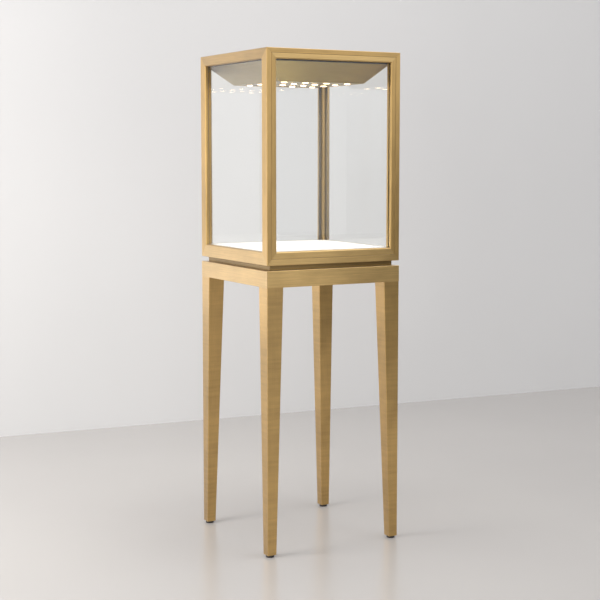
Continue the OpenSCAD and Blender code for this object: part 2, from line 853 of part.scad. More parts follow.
// Brackets that hang the canopy's top flange from the flange of the roof
module canopy_hangers() {
    w = 11;
    t = 2;
    h = z_top - lip_t - pan_t - z_rim;
    bracket_l = 30;
    x0 = hw - post_w;
    color(steel) for (m = [0, 1], y = [-case_bolt_y, case_bolt_y]) mirror([m, 0, 0])
        translate([x0, y + bracket_l / 2, z_rim]) rotate([90, 0, 0]) linear_extrude(bracket_l)
            polygon([[0, 0], [w, 0], [w, t], [t, t], [t, h - t], [w, h - t], [w, h], [0, h]]);
}

// Magnet of the catch, under the head rail at the door's free edge
catch_x = -door_hw + 23;
catch_l = 30;
strike_t = 1.5;

module catch_magnet() {
    y0 = y_door_in + strike_t + side_clear;
    color(black) box([catch_x, y0, z_rim + pane_clear],
        [catch_x + catch_l, y0 + 10, z_top - head_h]);
}

// Flanged bushes in the head rail and the sill rail
module bush() {
    flange_r = bush_r + 0.8;
    flange_t = door_gap - side_clear;
    rotate_extrude() polygon([
        [pin_r + run_clear, -bush_l], [bush_r, -bush_l], [bush_r, 0], [flange_r, 0],
        [flange_r, flange_t], [pin_r + run_clear, flange_t]
    ]);
}

module pivot_bushes() {
    color(white) {
        translate([pivot_x, pivot_y, z_case + sill_h]) bush();
        translate([pivot_x, pivot_y, z_top - head_h]) mirror([0, 0, 1]) bush();
    }
}

// Door

// A stile: a lip in front of the glass and a web beside it, mitred at both ends
module door_stile(side) {
    web = stile_w - rebate_w;
    wall = 1.5;
    color(brass) mirror([side > 0 ? 1 : 0, 0, 0]) intersection() {
        translate([-door_hw, -hd, z_door0]) tube(
            z_door1 - z_door0,
            turned(step_points(door_t, web, lip_t, stile_w)),
            turned(step_points(door_t, web, lip_t, stile_w, wall))
        );
        prism_xz([
            [-door_hw, z_door0], [-door_hw, z_door1],
            [-door_hw + stile_w, z_door1 - door_top_h],
            [-door_hw + stile_w, z_door0 + door_bottom_h]
        ]);
    }
}

// A rail of the door with the same section, bored for the pivot pin
module door_rail(h, top) {
    z0 = top ? z_door1 : z_door0;
    z1 = top ? z_door1 - h : z_door0 + h;
    web = h - rebate_w;
    wall = 1.5;
    color(brass) difference() {
        intersection() {
            translate([-door_hw, -hd, z0]) mirror([0, 0, top ? 1 : 0]) tube_x(
                2 * door_hw,
                step_points(door_t, web, lip_t, h),
                step_points(door_t, web, lip_t, h, wall),
                hinge_solid
            );
            prism_xz(mitre_points(-door_hw, door_hw, z0, z1, stile_w, stile_w));
        }
        translate([pivot_x, pivot_y, top ? z_door1 - pin_grip : z_door0 - cut])
            cylinder(r = pin_r + press_clear, h = pin_grip + cut);
    }
}

// Edges of the glass in the door: clear of the webs by the pane clearance
x_door_pane = door_hw - (stile_w - rebate_w) - pane_clear;
z_door_pane0 = z_deck - rebate_w + pane_clear;
z_door_pane1 = z_sight + rebate_w - pane_clear;

module door_glass() {
    color(pane)
        box([-x_door_pane, -hd + glass_out_d, z_door_pane0],
            [x_door_pane, -hd + glass_in_d, z_door_pane1]);
}

module door_gasket() {
    sight = door_hw - stile_w;
    color(black) translate([0, -hd + lip_t, 0])
        gasket_frame(-x_door_pane, x_door_pane, z_door_pane0, z_door_pane1, -sight, sight);
}

module door_beads() {
    sight = door_hw - stile_w;
    y0 = -hd + glass_in_d;
    y1 = y_door_in;
    b = rebate_w;
    color(brass) {
        for (m = [0, 1]) mirror([m, 0, 0])
            box([sight, y0, z_deck - b], [sight + b, y1, z_sight + b]);
        box([-sight, y0, z_sight], [sight, y1, z_sight + b]);
        box([-sight, y0, z_deck - b], [sight, y1, z_deck]);
    }
}

// What is fastened to the door: two pivot pins, and the strike plate of the catch
module door_fittings() {
    color(steel) {
        translate([pivot_x, pivot_y, z_case + sill_h - pin_seat])
            cylinder(r = pin_r, h = pin_seat + door_gap + pin_grip);
        translate([pivot_x, pivot_y, z_door1 - pin_grip])
            cylinder(r = pin_r, h = pin_seat + door_gap + pin_grip);
        box([catch_x - 2, y_door_in, z_sight + 5],
            [catch_x + catch_l + 2, y_door_in + strike_t, z_door1 - 0.5]);
    }
}

leg(FL);  // leg_front_left
leg(FR);  // leg_front_right
leg(RR);  // leg_rear_right
leg(RL);  // leg_rear_left
foot(FL);  // foot_front_left
foot(FR);  // foot_front_right
foot(RR);  // foot_rear_right
foot(RL);  // foot_rear_left
leg_plugs();
apron_x(-1);  // apron_front
apron_y(1);  // apron_right
apron_x(1);  // apron_rear
apron_y(-1);  // apron_left
corner_gussets();
leg_bolts();
base_cover();
cover_screws();
cord_grommet();
led_driver();
plinth_bars();
case_bolts();
floor_pan();
front_post(FL);  // post_front_left
front_post(FR);  // post_front_right
rear_post(RR);  // post_rear_right
rear_post(RL);  // post_rear_left
front_rail(sill_h, false);  // sill_rail
bottom_rail_side(1);  // bottom_rail_right
rear_rail(bottom_rail_h, false);  // bottom_rail_rear
bottom_rail_side(-1);  // bottom_rail_left
front_rail(head_h, true);  // head_rail
top_rail_side(1);  // top_rail_right
rear_rail(top_rail_h, true);  // top_rail_rear
top_rail_side(-1);  // top_rail_left
roof_panel();
glass_side(-1);  // glass_left
glass_rear();
glass_side(1);  // glass_right
glass_gaskets();
setting_blocks();
corner_beads();
deck_board();
deck_channels();
canopy_shell();
canopy_plate();
canopy_seal();
canopy_hangers();
led_bezels();
led_lenses();
led_board();
catch_magnet();
pivot_bushes();
door_stile(-1);  // door_stile_left
door_stile(1);  // door_stile_right
door_rail(door_top_h, true);  // door_rail_top
door_rail(door_bottom_h, false);  // door_rail_bottom
door_glass();
door_gasket();
door_beads();
door_fittings();
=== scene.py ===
"""Looks of a jewelry tower display case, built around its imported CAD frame.

Lengths are in metres. X runs across the door, Y runs from the door to the rear, Z is up.
"""

import math

import bpy
import numpy as np
from bpy.props import FloatProperty, FloatVectorProperty, IntProperty, PointerProperty
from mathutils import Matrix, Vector


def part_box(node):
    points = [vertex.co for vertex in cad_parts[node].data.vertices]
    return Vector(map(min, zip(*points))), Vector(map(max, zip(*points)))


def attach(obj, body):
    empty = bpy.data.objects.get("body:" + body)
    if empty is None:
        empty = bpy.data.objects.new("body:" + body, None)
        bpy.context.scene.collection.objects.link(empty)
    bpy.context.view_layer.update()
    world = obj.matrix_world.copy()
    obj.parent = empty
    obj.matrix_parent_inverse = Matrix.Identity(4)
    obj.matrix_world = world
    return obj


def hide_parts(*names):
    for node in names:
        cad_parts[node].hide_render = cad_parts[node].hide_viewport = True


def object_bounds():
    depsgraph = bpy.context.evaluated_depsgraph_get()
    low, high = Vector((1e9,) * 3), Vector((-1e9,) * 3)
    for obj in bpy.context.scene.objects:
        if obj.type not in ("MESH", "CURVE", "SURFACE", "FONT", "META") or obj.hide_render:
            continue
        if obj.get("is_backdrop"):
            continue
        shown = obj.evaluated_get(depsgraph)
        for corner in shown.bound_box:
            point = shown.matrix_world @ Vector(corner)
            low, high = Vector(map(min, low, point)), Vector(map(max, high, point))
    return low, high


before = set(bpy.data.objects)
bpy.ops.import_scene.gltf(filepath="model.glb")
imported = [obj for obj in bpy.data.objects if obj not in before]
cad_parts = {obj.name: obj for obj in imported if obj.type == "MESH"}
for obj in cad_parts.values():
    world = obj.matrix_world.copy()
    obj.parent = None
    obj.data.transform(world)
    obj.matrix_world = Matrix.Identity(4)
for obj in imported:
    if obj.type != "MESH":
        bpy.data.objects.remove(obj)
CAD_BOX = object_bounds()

bl_info = {
    "name": "Jewelry tower display case",
    "version": (1, 0, 0),
    "blender": (4, 5, 0),
    "location": "View3D > Sidebar > Display case",
    "description": "Builds a glazed brass display case on tapered legs, with its lights and stage",
    "category": "Add Mesh",
}

MM = 0.001
CORNERS = {
    "front_left": (-1, -1),
    "front_right": (1, -1),
    "rear_right": (1, 1),
    "rear_left": (-1, 1),
}
SIDES = ("front", "rear", "left", "right")


def low(node):
    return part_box(node)[0]


def high(node):
    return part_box(node)[1]


def span(node, axis):
    return high(node)[axis] - low(node)[axis]


HALF = high("apron_front").x
Z_FOOT = low("leg_front_left").z
Z_APRON = high("leg_front_left").z
Z_GAP = high("apron_front").z
Z_CASE = low("post_front_left").z
Z_TOP = high("post_front_left").z
POST_W = span("post_front_left", 1)
FRONT_POST_W = span("post_front_left", 0)
TOP_RAIL_H = span("top_rail_left", 2)
LOW_RAIL_H = span("bottom_rail_left", 2)
HEAD_H = span("head_rail", 2)
SILL_H = span("sill_rail", 2)
Z_DECK = high("deck_board").z
Z_SIGHT = Z_TOP - TOP_RAIL_H
DOOR_HALF = high("door_stile_right").x
DOOR_T = span("door_stile_left", 1)
STILE_W = span("door_stile_left", 0)
DOOR_TOP_H = span("door_rail_top", 2)
DOOR_LOW_H = span("door_rail_bottom", 2)
Z_DOOR0 = low("door_stile_left").z
Z_DOOR1 = high("door_stile_left").z
K_TOP = TOP_RAIL_H / POST_W
K_LOW = LOW_RAIL_H / POST_W
S_TOP = HEAD_H / (FRONT_POST_W * K_TOP)
S_LOW = SILL_H / (FRONT_POST_W * K_LOW)


# Values that a user would change


def length(name, text, default, top):
    kind = {"precision": 5, "subtype": "DISTANCE", "unit": "LENGTH"}
    return FloatProperty(name=name, description=text, default=default, min=0.0, max=top, **kind)


def tone(name, text, default):
    kind = {"size": 3, "min": 0.0, "max": 1.0, "subtype": "COLOR"}
    return FloatVectorProperty(name=name, description=text, default=default, **kind)


def factor(name, text, default):
    return FloatProperty(
        name=name, description=text, default=default, min=0.0, max=1.0, subtype="FACTOR"
    )


def power(name, text, default):
    return FloatProperty(name=name, description=text, default=default, unit="POWER")


class CaseSizes(bpy.types.PropertyGroup):
    edge_ease: length("Edge easing", "Width of the flat on the outer edges", 1.3 * MM, 0.003)
    fine_ease: length("Fine easing", "How far the inner edges are rounded", 0.4 * MM, 0.001)
    joint_line: length("Joint line", "Half the hairline between two members", 0.12 * MM, 0.001)
    bevel: length("Lip bevel", "Bevel on the inner edge of each lip", 3 * MM, 0.004)
    lip: length("Lip thickness", "Thickness of the lips in front of the glass", 10 * MM, 0.02)
    wall: length("Sheet thickness", "Thickness of folded sheet and tube walls", 2 * MM, 0.003)
    leg_foot_w: length("Leg width at the foot", "Side of the leg's lower end", 29 * MM, 0.05)
    glass_ease: length("Glass edge", "Polished chamfer round each pane", 0.7 * MM, 0.002)
    door_fill: length("Door growth", "How far the door fills its reveal", 1.3 * MM, 0.0014)
    pivot_fill: length("Pivot side growth", "The same beside the pivots", 0.6 * MM, 0.0007)
    led_rows: IntProperty(
        name="Light rows", description="Rows of lights each way", default=4, min=3, max=4
    )
    led_pitch: length("Light pitch", "Distance from light to light", 72 * MM, 0.076)
    lens_r: length("Lens radius", "Radius of the frosted lens", 9 * MM, 0.011)


class CaseFinishes(bpy.types.PropertyGroup):
    brass: tone("Brass", "Crests of the grain on upright members", (0.67, 0.425, 0.14))
    brass_deep: tone("Deep brass", "Depths of the grain on upright members", (0.43, 0.265, 0.08))
    # Painted sheen: the rail tones are lighter and paler than the upright tones, as level members
    # catch more light
    rail: tone("Rail brass with painted sheen", "Crests of the grain on level members", (0.72, 0.485, 0.185))
    rail_sheen_deep: tone("Deep rail brass with painted sheen", "Depths of the grain on level members", (0.49, 0.315, 0.108))
    # Painted shade: the canopy tones are darker and greyer than the frame's, on the same brass
    canopy: tone("Canopy brass with painted shade", "Crests of the grain on the canopy", (0.46, 0.335, 0.12))
    canopy_shade_deep: tone("Deep canopy brass with painted shade", "Depths of the grain on the canopy", (0.33, 0.24, 0.08))
    brass_roughness: factor("Brass roughness", "Mean roughness of the brushed brass", 0.36)
    brass_streaks: factor("Brass streaks", "Strength of the grain's colour", 0.7)
    brass_clouds: factor("Brass clouds", "Strength of the broad change of tone", 0.6)
    leg_streaks: factor("Leg streaks", "Strength of the grain's colour on the legs", 0.2)
    cross_lines: factor("Cross lines", "Strength of the fine lines across the legs", 0.26)
    lacquer: factor("Lacquer", "Weight of the clear lacquer on the brass", 1.0)
    thin_lacquer: factor("Thin lacquer", "The same on the plinth and the canopy", 0.35)
    # Painted shade: the top rails are darker than the posts by this factor
    top_rail_painted_shade: factor("Top rail painted shade", "Tone of the top rails over that of the posts", 0.87)
    # Painted shade: the plinth in the shadow gap is darker than the rails by this factor
    plinth_painted_shade: factor("Plinth painted shade", "Tone of the plinth over that of the rails", 0.44)
    foot: tone("Foot plastic", "Tone of the feet", (0.035, 0.03, 0.03))
    rubber: tone("Rubber", "Tone of the door's gasket and the seals", (0.05, 0.045, 0.04))
    # Painted light: a lighter, warmer copy of the black rubber, on the fixed panes' gaskets
    grey_rubber: tone("Rubber with painted light", "Tone of the fixed panes' gaskets", (0.21, 0.155, 0.1))
    steel: tone("Plated steel", "Tone of the zinc plating", (0.60, 0.61, 0.63))
    glass: tone("Glass", "Tint of the clear glass", (0.985, 0.993, 0.99))
    deck: tone("Deck laminate", "Tone of the white deck", (0.88, 0.88, 0.87))
    lens: tone("Lens light", "Colour of the lit lenses", (1.0, 0.95, 0.86))
    lens_strength: FloatProperty(
        name="Lens strength", description="Strength of the lit lenses", default=9.0, min=0.0
    )
    white_plastic: tone("White plastic", "Tone of the light board", (0.78, 0.78, 0.76))
    black_plastic: tone("Black plastic", "Tone of the small mouldings", (0.04, 0.04, 0.042))


class CaseStage(bpy.types.PropertyGroup):
    floor: tone("Floor", "Tone of the floor", (0.47, 0.447, 0.43))
    wall: tone("Wall", "Tone of the wall", (0.67, 0.66, 0.655))
    key_power: power("Key light", "Power of the window light", 34.0)
    bounce_power: power("Bounce light", "Power of the light off the sunlit wall", 0.55)
    edge_power: power("Edge light", "Power of the strip that draws the near edges", 5.0)
    fill_power: power("Fill light", "Power of the front fill", 4.0)
    wall_power: power("Wall light", "Power of the wash on the wall", 40.0)
    top_power: power("Top light", "Power of the overhead softbox", 36.0)
    led_power: power("Deck light", "Power that the lights throw on the deck", 3.8)
    sky: FloatProperty(
        name="Room light", description="Strength of the even light", default=0.96, min=0.0
    )


# Shapes


def eased(points, radius, steps=5):
    """Outline with rounded corners. Each corner P gives way to the curve
    (1-s)^2 A + 2s(1-s) P + s^2 B for s from 0 to 1, where A and B lie one radius
    from P on its two edges, or just short of half an edge."""
    p = np.asarray(points, float)
    r = np.broadcast_to(np.asarray(radius, float), (len(p),))[:, None]
    back = np.roll(p, 1, axis=0) - p
    ahead = np.roll(p, -1, axis=0) - p
    back_l = np.linalg.norm(back, axis=1, keepdims=True)
    ahead_l = np.linalg.norm(ahead, axis=1, keepdims=True)
    a = (p + back / back_l * np.minimum(r, 0.45 * back_l))[:, None]
    b = (p + ahead / ahead_l * np.minimum(r, 0.45 * ahead_l))[:, None]
    s = np.linspace(0, 1, steps)[None, :, None]
    return ((1 - s) ** 2 * a + 2 * s * (1 - s) * p[:, None] + s**2 * b).reshape(-1, p.shape[1])


def drawn_in(outline, depth):
    """Outline moved inwards by depth: each point goes along the sum of its two edge
    normals over one plus their dot product, which keeps every edge parallel."""
    p = np.asarray(outline, float)
    edge = np.roll(p, -1, axis=0) - p
    edge /= np.linalg.norm(edge, axis=1, keepdims=True)
    turn = np.sign(np.sum(p[:, 0] * np.roll(p[:, 1], -1) - np.roll(p[:, 0], -1) * p[:, 1]))
    n1 = turn * np.stack([-edge[:, 1], edge[:, 0]], axis=1)
    n0 = np.roll(n1, 1, axis=0)
    way = (n0 + n1) / (1 + np.sum(n0 * n1, axis=1, keepdims=True))
    return p + way * depth


def skin(rings, closed=False, along=None, grain_round=False):
    """Part whose surface is a grid of points P(i, j): i counts the stations along a path
    and j goes round each ring. Neighbouring points make four-sided faces, and flat caps
    close the first and last ring unless the path closes on itself. The grain map holds
    metres along the path and metres round the ring, or the two exchanged."""
    rings = np.asarray(rings, float)
    stations, around = rings.shape[:2]
    wide = np.concatenate([rings, rings[:, :1]], axis=1)
    if closed:
        wide = np.concatenate([wide, wide[:1]], axis=0)
    step_u = np.linalg.norm(np.diff(wide, axis=0), axis=2)
    step_v = np.linalg.norm(np.diff(wide, axis=1), axis=2)
    u = np.concatenate([np.zeros((1, around + 1)), np.cumsum(step_u, axis=0)])
    v = np.concatenate([np.zeros((len(wide), 1)), np.cumsum(step_v, axis=1)], axis=1)
    if along is not None:
        u = np.concatenate([along, along[:, :1]], axis=1)
    grain = np.stack([v, u] if grain_round else [u, v], axis=-1)
    i = np.arange(len(wide) - 1)[:, None]
    j = np.arange(around)[None, :]
    i2, j2 = (i + 1) % stations, (j + 1) % around
    corners = (i * around + j, i * around + j2, i2 * around + j2, i2 * around + j)
    quads = np.stack(np.broadcast_arrays(*corners), axis=-1).reshape(-1, 4)
    maps = np.stack([grain[:-1, :-1], grain[:-1, 1:], grain[1:, 1:], grain[1:, :-1]], axis=2)
    points = rings.reshape(-1, 3)
    faces = [(quads, maps.reshape(-1, 4, 2))]
    if not closed:
        first = np.arange(around)[::-1]
        last = np.arange(around) + (stations - 1) * around
        faces += [cap(points, first), cap(points, last)]
    return outward(points, faces)


def cap(points, ring):
    """Flat face over a ring. Its map is measured along the ring's longest edge and
    square to it, in the plane of the ring."""
    p = points[ring]
    edges = np.roll(p, -1, axis=0) - p
    e1 = edges[np.argmax(np.linalg.norm(edges, axis=1))]
    e1 = e1 / np.linalg.norm(e1)
    rest = p - p[0] - ((p - p[0]) @ e1)[:, None] * e1
    e2 = rest[np.argmax(np.linalg.norm(rest, axis=1))]
    e2 = e2 / np.linalg.norm(e2)
    return ring[None], np.stack([(p - p[0]) @ e1, (p - p[0]) @ e2], axis=-1)[None]


def outward(points, faces):
    """Part with its faces turned outwards. Six times the enclosed volume is the sum over
    each face's fan of triangles of a . (b x c), and is negative where they look inwards."""
    six_volumes = 0.0
    for f, _ in faces:
        a, b, c = points[f[:, :1]], points[f[:, 1:-1]], points[f[:, 2:]]
        six_volumes += np.sum(a * np.cross(b, c))
    if six_volumes < 0:
        faces = [(f[:, ::-1], t[:, ::-1]) for f, t in faces]
    return points, faces


def moved(part, by):
    return part[0] + np.asarray(by, float), part[1]


def member(outline, start, stop, place, sizes):
    """Bar with mitred ends: the outline's point (a, b) runs straight from start(a, b) to
    stop(a, b), and place(a, b, t) puts it in the case. Both ends stay back by the
    joint line."""
    a, b = np.asarray(outline).T
    t = np.stack([start(a, b) + sizes.joint_line, stop(a, b) - sizes.joint_line])
    return skin(place(np.stack([a, a]), np.stack([b, b]), t), along=t)


def plate(outline, z0, z1, ease, axis=2, steps=4):
    """Flat plate with every edge eased: the outline is drawn in by ease (1 - sin q) at
    height z0 + ease (1 - cos q) for q from 0 to a quarter turn, and the same at the top.
    The plate is thick along the given axis, and its outline lies in the other two."""
    q = np.linspace(0, math.pi / 2, steps)
    depth = ease * (1 - np.sin(q))
    rise = ease * (1 - np.cos(q))
    heights = np.concatenate([z0 + rise, z1 - rise[::-1]])
    depths = np.concatenate([depth, depth[::-1]])
    flat = np.stack([drawn_in(outline, d) for d in depths])
    z = np.broadcast_to(heights[:, None], flat.shape[:2])
    return skin(np.roll(np.stack([flat[..., 0], flat[..., 1], z], axis=-1), axis + 1, axis=-1))


def box_outline(lo, hi, axis):
    """The four corners of a box, seen along an axis."""
    p, q = (axis + 1) % 3, (axis + 2) % 3
    return [(lo[p], lo[q]), (hi[p], lo[q]), (hi[p], hi[q]), (lo[p], hi[q])]


def bar(lo, hi, ease, axis=2):
    """Straight bar between two corners, with eased edges and its grain along the axis."""
    outline = eased(box_outline(lo, hi, axis), ease, 4)
    return plate(outline, lo[axis], hi[axis], ease * 0.9, axis)


def turned(profile, around=40, closed=False):
    """Turned part: the profile's point (r, z) goes once round the Z axis, through
    (r cos q, r sin q, z)."""
    p = np.asarray(profile, float)
    q = np.linspace(0, 2 * math.pi, around, endpoint=False)
    r, z = p[:, :1], np.repeat(p[:, 1:], around, axis=1)
    return skin(np.stack([r * np.cos(q), r * np.sin(q), z], axis=-1), closed=closed)


def framed(stations, corner_r, closed=False, steps=4, grain_round=True):
    """Profile carried round a rectangle. Each station is (x0, x1, y0, y1, z), the
    rectangle that its point of the profile follows, with quarter circles of radius
    corner_r in the corners."""
    x0, x1, y0, y1, z = np.asarray(stations, float).T
    q = (np.arange(4)[:, None] * 90 + np.linspace(0, 90, steps)) * math.pi / 180
    cx = np.stack([x1 - corner_r, x0 + corner_r, x0 + corner_r, x1 - corner_r], axis=1)
    cy = np.stack([y1 - corner_r, y1 - corner_r, y0 + corner_r, y0 + corner_r], axis=1)
    x = (cx[:, :, None] + corner_r * np.cos(q)).reshape(len(z), -1)
    y = (cy[:, :, None] + corner_r * np.sin(q)).reshape(len(z), -1)
    rings = np.stack([x, y, np.broadcast_to(z[:, None], x.shape)], axis=-1)
    return skin(rings, closed=closed, grain_round=grain_round)


def mirrored(part):
    """The part's copy across the plane X = 0."""
    return outward(part[0] * (-1, 1, 1), part[1])


# The record's slot of each finish that has another name
# Copies of the one brass: top, shaded and canopy carry painted shade, rail a painted sheen
BRASS_KINDS = ("leg", "top", "rail", "sheet", "shaded", "canopy")
SLOTS = {f"{kind}_brass": "brushed_brass" for kind in BRASS_KINDS}
# This rubber is the black rubber made lighter: painted light
SLOTS["grey_rubber"] = "black_rubber"
SHARP_ANGLE = math.radians(35)
GRAIN_SHIFT = np.array([(3.1, 5.3, 1.7), (2.3, 1.9, 4.1)])


def make_piece(name, parts, finish_name="brushed_brass", node_name=None, body="case"):
    """Joins the parts into one mesh, gives it its finish, and lets it ride on its body in
    place of its CAD node. The grain map is shifted by the piece's place, so that no two
    pieces look alike. Glass keeps flat faces, which don't bend what is seen through it."""
    points, faces, maps, count = [], [], [], 0
    for part_points, part_faces in parts:
        points.append(part_points)
        for f, t in part_faces:
            faces += (f + count).tolist()
            maps.append(t.reshape(-1, 2))
        count += len(part_points)
    mesh = bpy.data.meshes.new(name)
    mesh.from_pydata(np.concatenate(points).tolist(), [], faces)
    middle = np.mean([p.mean(axis=0) for p in points], axis=0)
    layer = mesh.uv_layers.new(name="grain")
    layer.data.foreach_set("uv", (np.concatenate(maps) + GRAIN_SHIFT @ middle).ravel())
    is_glass = finish_name == "clear_glass"
    mesh.polygons.foreach_set("use_smooth", np.full(len(faces), not is_glass))
    mesh.set_sharp_from_angle(angle=SHARP_ANGLE)
    mesh.materials.append(finish(finish_name))
    obj = bpy.data.objects.new(name, mesh)
    bpy.context.scene.collection.objects.link(obj)
    if not is_glass:
        smooth = obj.modifiers.new("Weighted normals", "WEIGHTED_NORMAL")
        smooth.mode = "FACE_AREA"
        smooth.weight = 90
        smooth.keep_sharp = True
    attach(obj, body)
    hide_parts(node_name or name.lower())


# Finishes


def node(tree, kind, inputs=None, **settings):
    """New node whose inputs are set, or linked where the value is a socket. A colour of
    three numbers gets its alpha."""
    made = tree.nodes.new(kind)
    for key, value in settings.items():
        setattr(made, key, value)
    for key, value in (inputs or {}).items():
        socket = made.inputs[key]
        if isinstance(value, bpy.types.NodeSocket):
            tree.links.new(value, socket)
        else:
            socket.default_value = (*value[:3], 1.0) if socket.type == "RGBA" else value
    return made


def maths(tree, operation, a, b, c=0.0, clamp=False):
    settings = {"operation": operation, "use_clamp": clamp}
    return node(tree, "ShaderNodeMath", {0: a, 1: b, 2: c}, **settings).outputs[0]


def times(tree, a, b):
    return maths(tree, "MULTIPLY", a, b)


def centred(tree, a):
    return maths(tree, "SUBTRACT", a, 0.5)


def noise(tree, vector, scale, detail=3.0, roughness=0.5):
    """Noise from 0 to 1, with a scale for each axis in waves per metre."""
    stretched = node(tree, "ShaderNodeVectorMath", {0: vector, 1: scale}, operation="MULTIPLY")
    inputs = {"Scale": 1.0, "Detail": detail, "Roughness": roughness}
    inputs["Vector"] = stretched.outputs[0]
    return node(tree, "ShaderNodeTexNoise", inputs).outputs["Fac"]


def spread(tree, value, low_at, high_at, to_low=0.0, to_high=1.0):
    """The value taken from one range to another, and held within it."""
    inputs = {"From Min": low_at, "From Max": high_at, "To Min": to_low, "To Max": to_high}
    inputs["Value"] = value
    return node(tree, "ShaderNodeMapRange", inputs, clamp=True).outputs["Result"]


def blend(tree, amount, a, b, how="MIX"):
    settings = {"data_type": "RGBA", "blend_type": how}
    return node(tree, "ShaderNodeMix", {0: amount, 6: a, 7: b}, **settings).outputs[2]


def shaded(tree, colour, lift):
    """The colour times a value."""
    grey = node(tree, "ShaderNodeCombineColor", {0: lift, 1: lift, 2: lift}).outputs[0]
    return blend(tree, 1.0, colour, grey, "MULTIPLY")


# Waves per metre along the grain and across it
FINE_STREAKS = (22.0, 1500.0, 1500.0)
BROAD_STREAKS = (5.0, 300.0, 300.0)
TONE_CLOUDS = (7.0, 11.0, 11.0)
CROSS_LINES = (100.0, 6.0, 6.0)


def brushed_grain(tree, given):
    """Streaks along the first coordinate in two widths, slow clouds of tone, and short
    lines across the grain. Their sum blends the deep tone into that of the crests."""
    at = given["Coordinates"]
    fine = noise(tree, at, FINE_STREAKS, 2.0, 0.6)
    band = noise(tree, at, BROAD_STREAKS, 3.0, 0.65)
    cloud = noise(tree, at, TONE_CLOUDS, 3.0, 0.55)
    line = noise(tree, at, CROSS_LINES, 5.0, 0.6)
    streak = centred(tree, maths(tree, "MULTIPLY_ADD", fine, 0.4, times(tree, band, 0.6)))
    streak = times(tree, streak, times(tree, given["Streaks"], 4.0))
    drift = times(tree, centred(tree, cloud), times(tree, given["Clouds"], 2.4))
    across = times(tree, centred(tree, line), times(tree, given["Cross lines"], 4.0))
    total = maths(tree, "ADD", maths(tree, "ADD", streak, across), drift)
    mask = maths(tree, "ADD", total, 0.55, clamp=True)
    rough = maths(tree, "MULTIPLY_ADD", centred(tree, fine), 0.16, given["Roughness"])
    return {
        "Color": blend(tree, mask, given["Deep"], given["Crest"]),
        "Roughness": maths(tree, "MULTIPLY_ADD", centred(tree, cloud), 0.12, rough, clamp=True),
        "Height": maths(tree, "MULTIPLY_ADD", fine, 0.7, times(tree, band, 0.3)),
    }


def moulded_grain(tree, given):
    """Fine even grain of moulded, plated or pressed stuff, with slow marks of handling."""
    at = given["Coordinates"]
    scale = maths(tree, "DIVIDE", 1.0, given["Grain size"])
    grown = node(tree, "ShaderNodeVectorMath", {0: at, "Scale": scale}, operation="SCALE")
    grain = noise(tree, grown.outputs[0], (1.0, 1.0, 1.0), 3.0, 0.55)
    marks = centred(tree, noise(tree, at, (23.0, 23.0, 23.0), 3.0, 0.55))
    lift = maths(tree, "ADD", times(tree, centred(tree, grain), 0.6), marks)
    lift = maths(tree, "MULTIPLY_ADD", lift, times(tree, given["Variation"], 2.0), 1.0)
    return {
        "Color": shaded(tree, given["Tone"], lift),
        "Roughness": maths(tree, "MULTIPLY_ADD", marks, 0.3, given["Roughness"], clamp=True),
        "Height": grain,
    }


def glass_film(tree, given):
    """The faint film on cleaned glass, in soft wiped streaks."""
    wipe = noise(tree, given["Coordinates"], (9.0, 9.0, 2.2), 3.0, 0.6)
    mask = spread(tree, wipe, 0.52, 0.78)
    return {
        "Color": blend(tree, times(tree, mask, 0.25), given["Tint"], (1.0, 1.0, 1.0)),
        "Roughness": times(tree, mask, given["Film"]),
    }


def laminate(tree, given):
    """Satin laminate: a very fine peel, faint clouds, and rare soft scuffs."""
    at = given["Coordinates"]
    cloud = noise(tree, at, (6.0, 6.0, 6.0), 2.0, 0.5)
    scuff = spread(tree, noise(tree, at, (12.0, 60.0, 12.0), 3.0, 0.6), 0.66, 0.8)
    return {
        "Color": shaded(tree, given["Tone"], spread(tree, cloud, 0.2, 0.8, 0.975, 1.015)),
        "Roughness": maths(tree, "MULTIPLY_ADD", scuff, 0.12, given["Roughness"], clamp=True),
        "Height": noise(tree, at, (900.0, 900.0, 900.0), 2.0, 0.5),
    }


def lens_glow(tree, given):
    """Glow of a frosted lens, from the distance along its profile: even in the middle
    and warmer near the rim."""
    along = node(tree, "ShaderNodeSeparateXYZ", {0: given["Coordinates"]}).outputs[0]
    rim = spread(tree, maths(tree, "DIVIDE", along, given["Radius"]), 0.6, 1.3)
    warm = blend(tree, 1.0, given["Tone"], (0.9, 0.72, 0.5), "MULTIPLY")
    return {
        "Color": blend(tree, rim, given["Tone"], warm),
        "Roughness": spread(tree, rim, 0.0, 1.0, 0.35, 0.5),
    }


def slow_tone(tree, given):
    """A faint, slow change of tone."""
    cloud = noise(tree, given["Coordinates"], (0.8, 0.8, 0.8))
    return {"Color": shaded(tree, given["Tone"], spread(tree, cloud, 0.25, 0.75, 0.97, 1.03))}


# Each effect's function, and the inputs of its group beside the coordinates
EFFECTS = {
    "Brushed grain": (
        brushed_grain, ("Crest", "Deep", "Streaks", "Clouds", "Cross lines", "Roughness")
    ),
    "Moulded grain": (moulded_grain, ("Tone", "Grain size", "Variation", "Roughness")),
    "Glass film": (glass_film, ("Tint", "Film")),
    "Laminate": (laminate, ("Tone", "Roughness")),
    "Lens glow": (lens_glow, ("Tone", "Radius")),
    "Slow tone": (slow_tone, ("Tone",)),
}
SOCKETS = {name: "NodeSocketColor" for name in ("Color", "Crest", "Deep", "Tint", "Tone")}
SOCKETS["Coordinates"] = "NodeSocketVector"


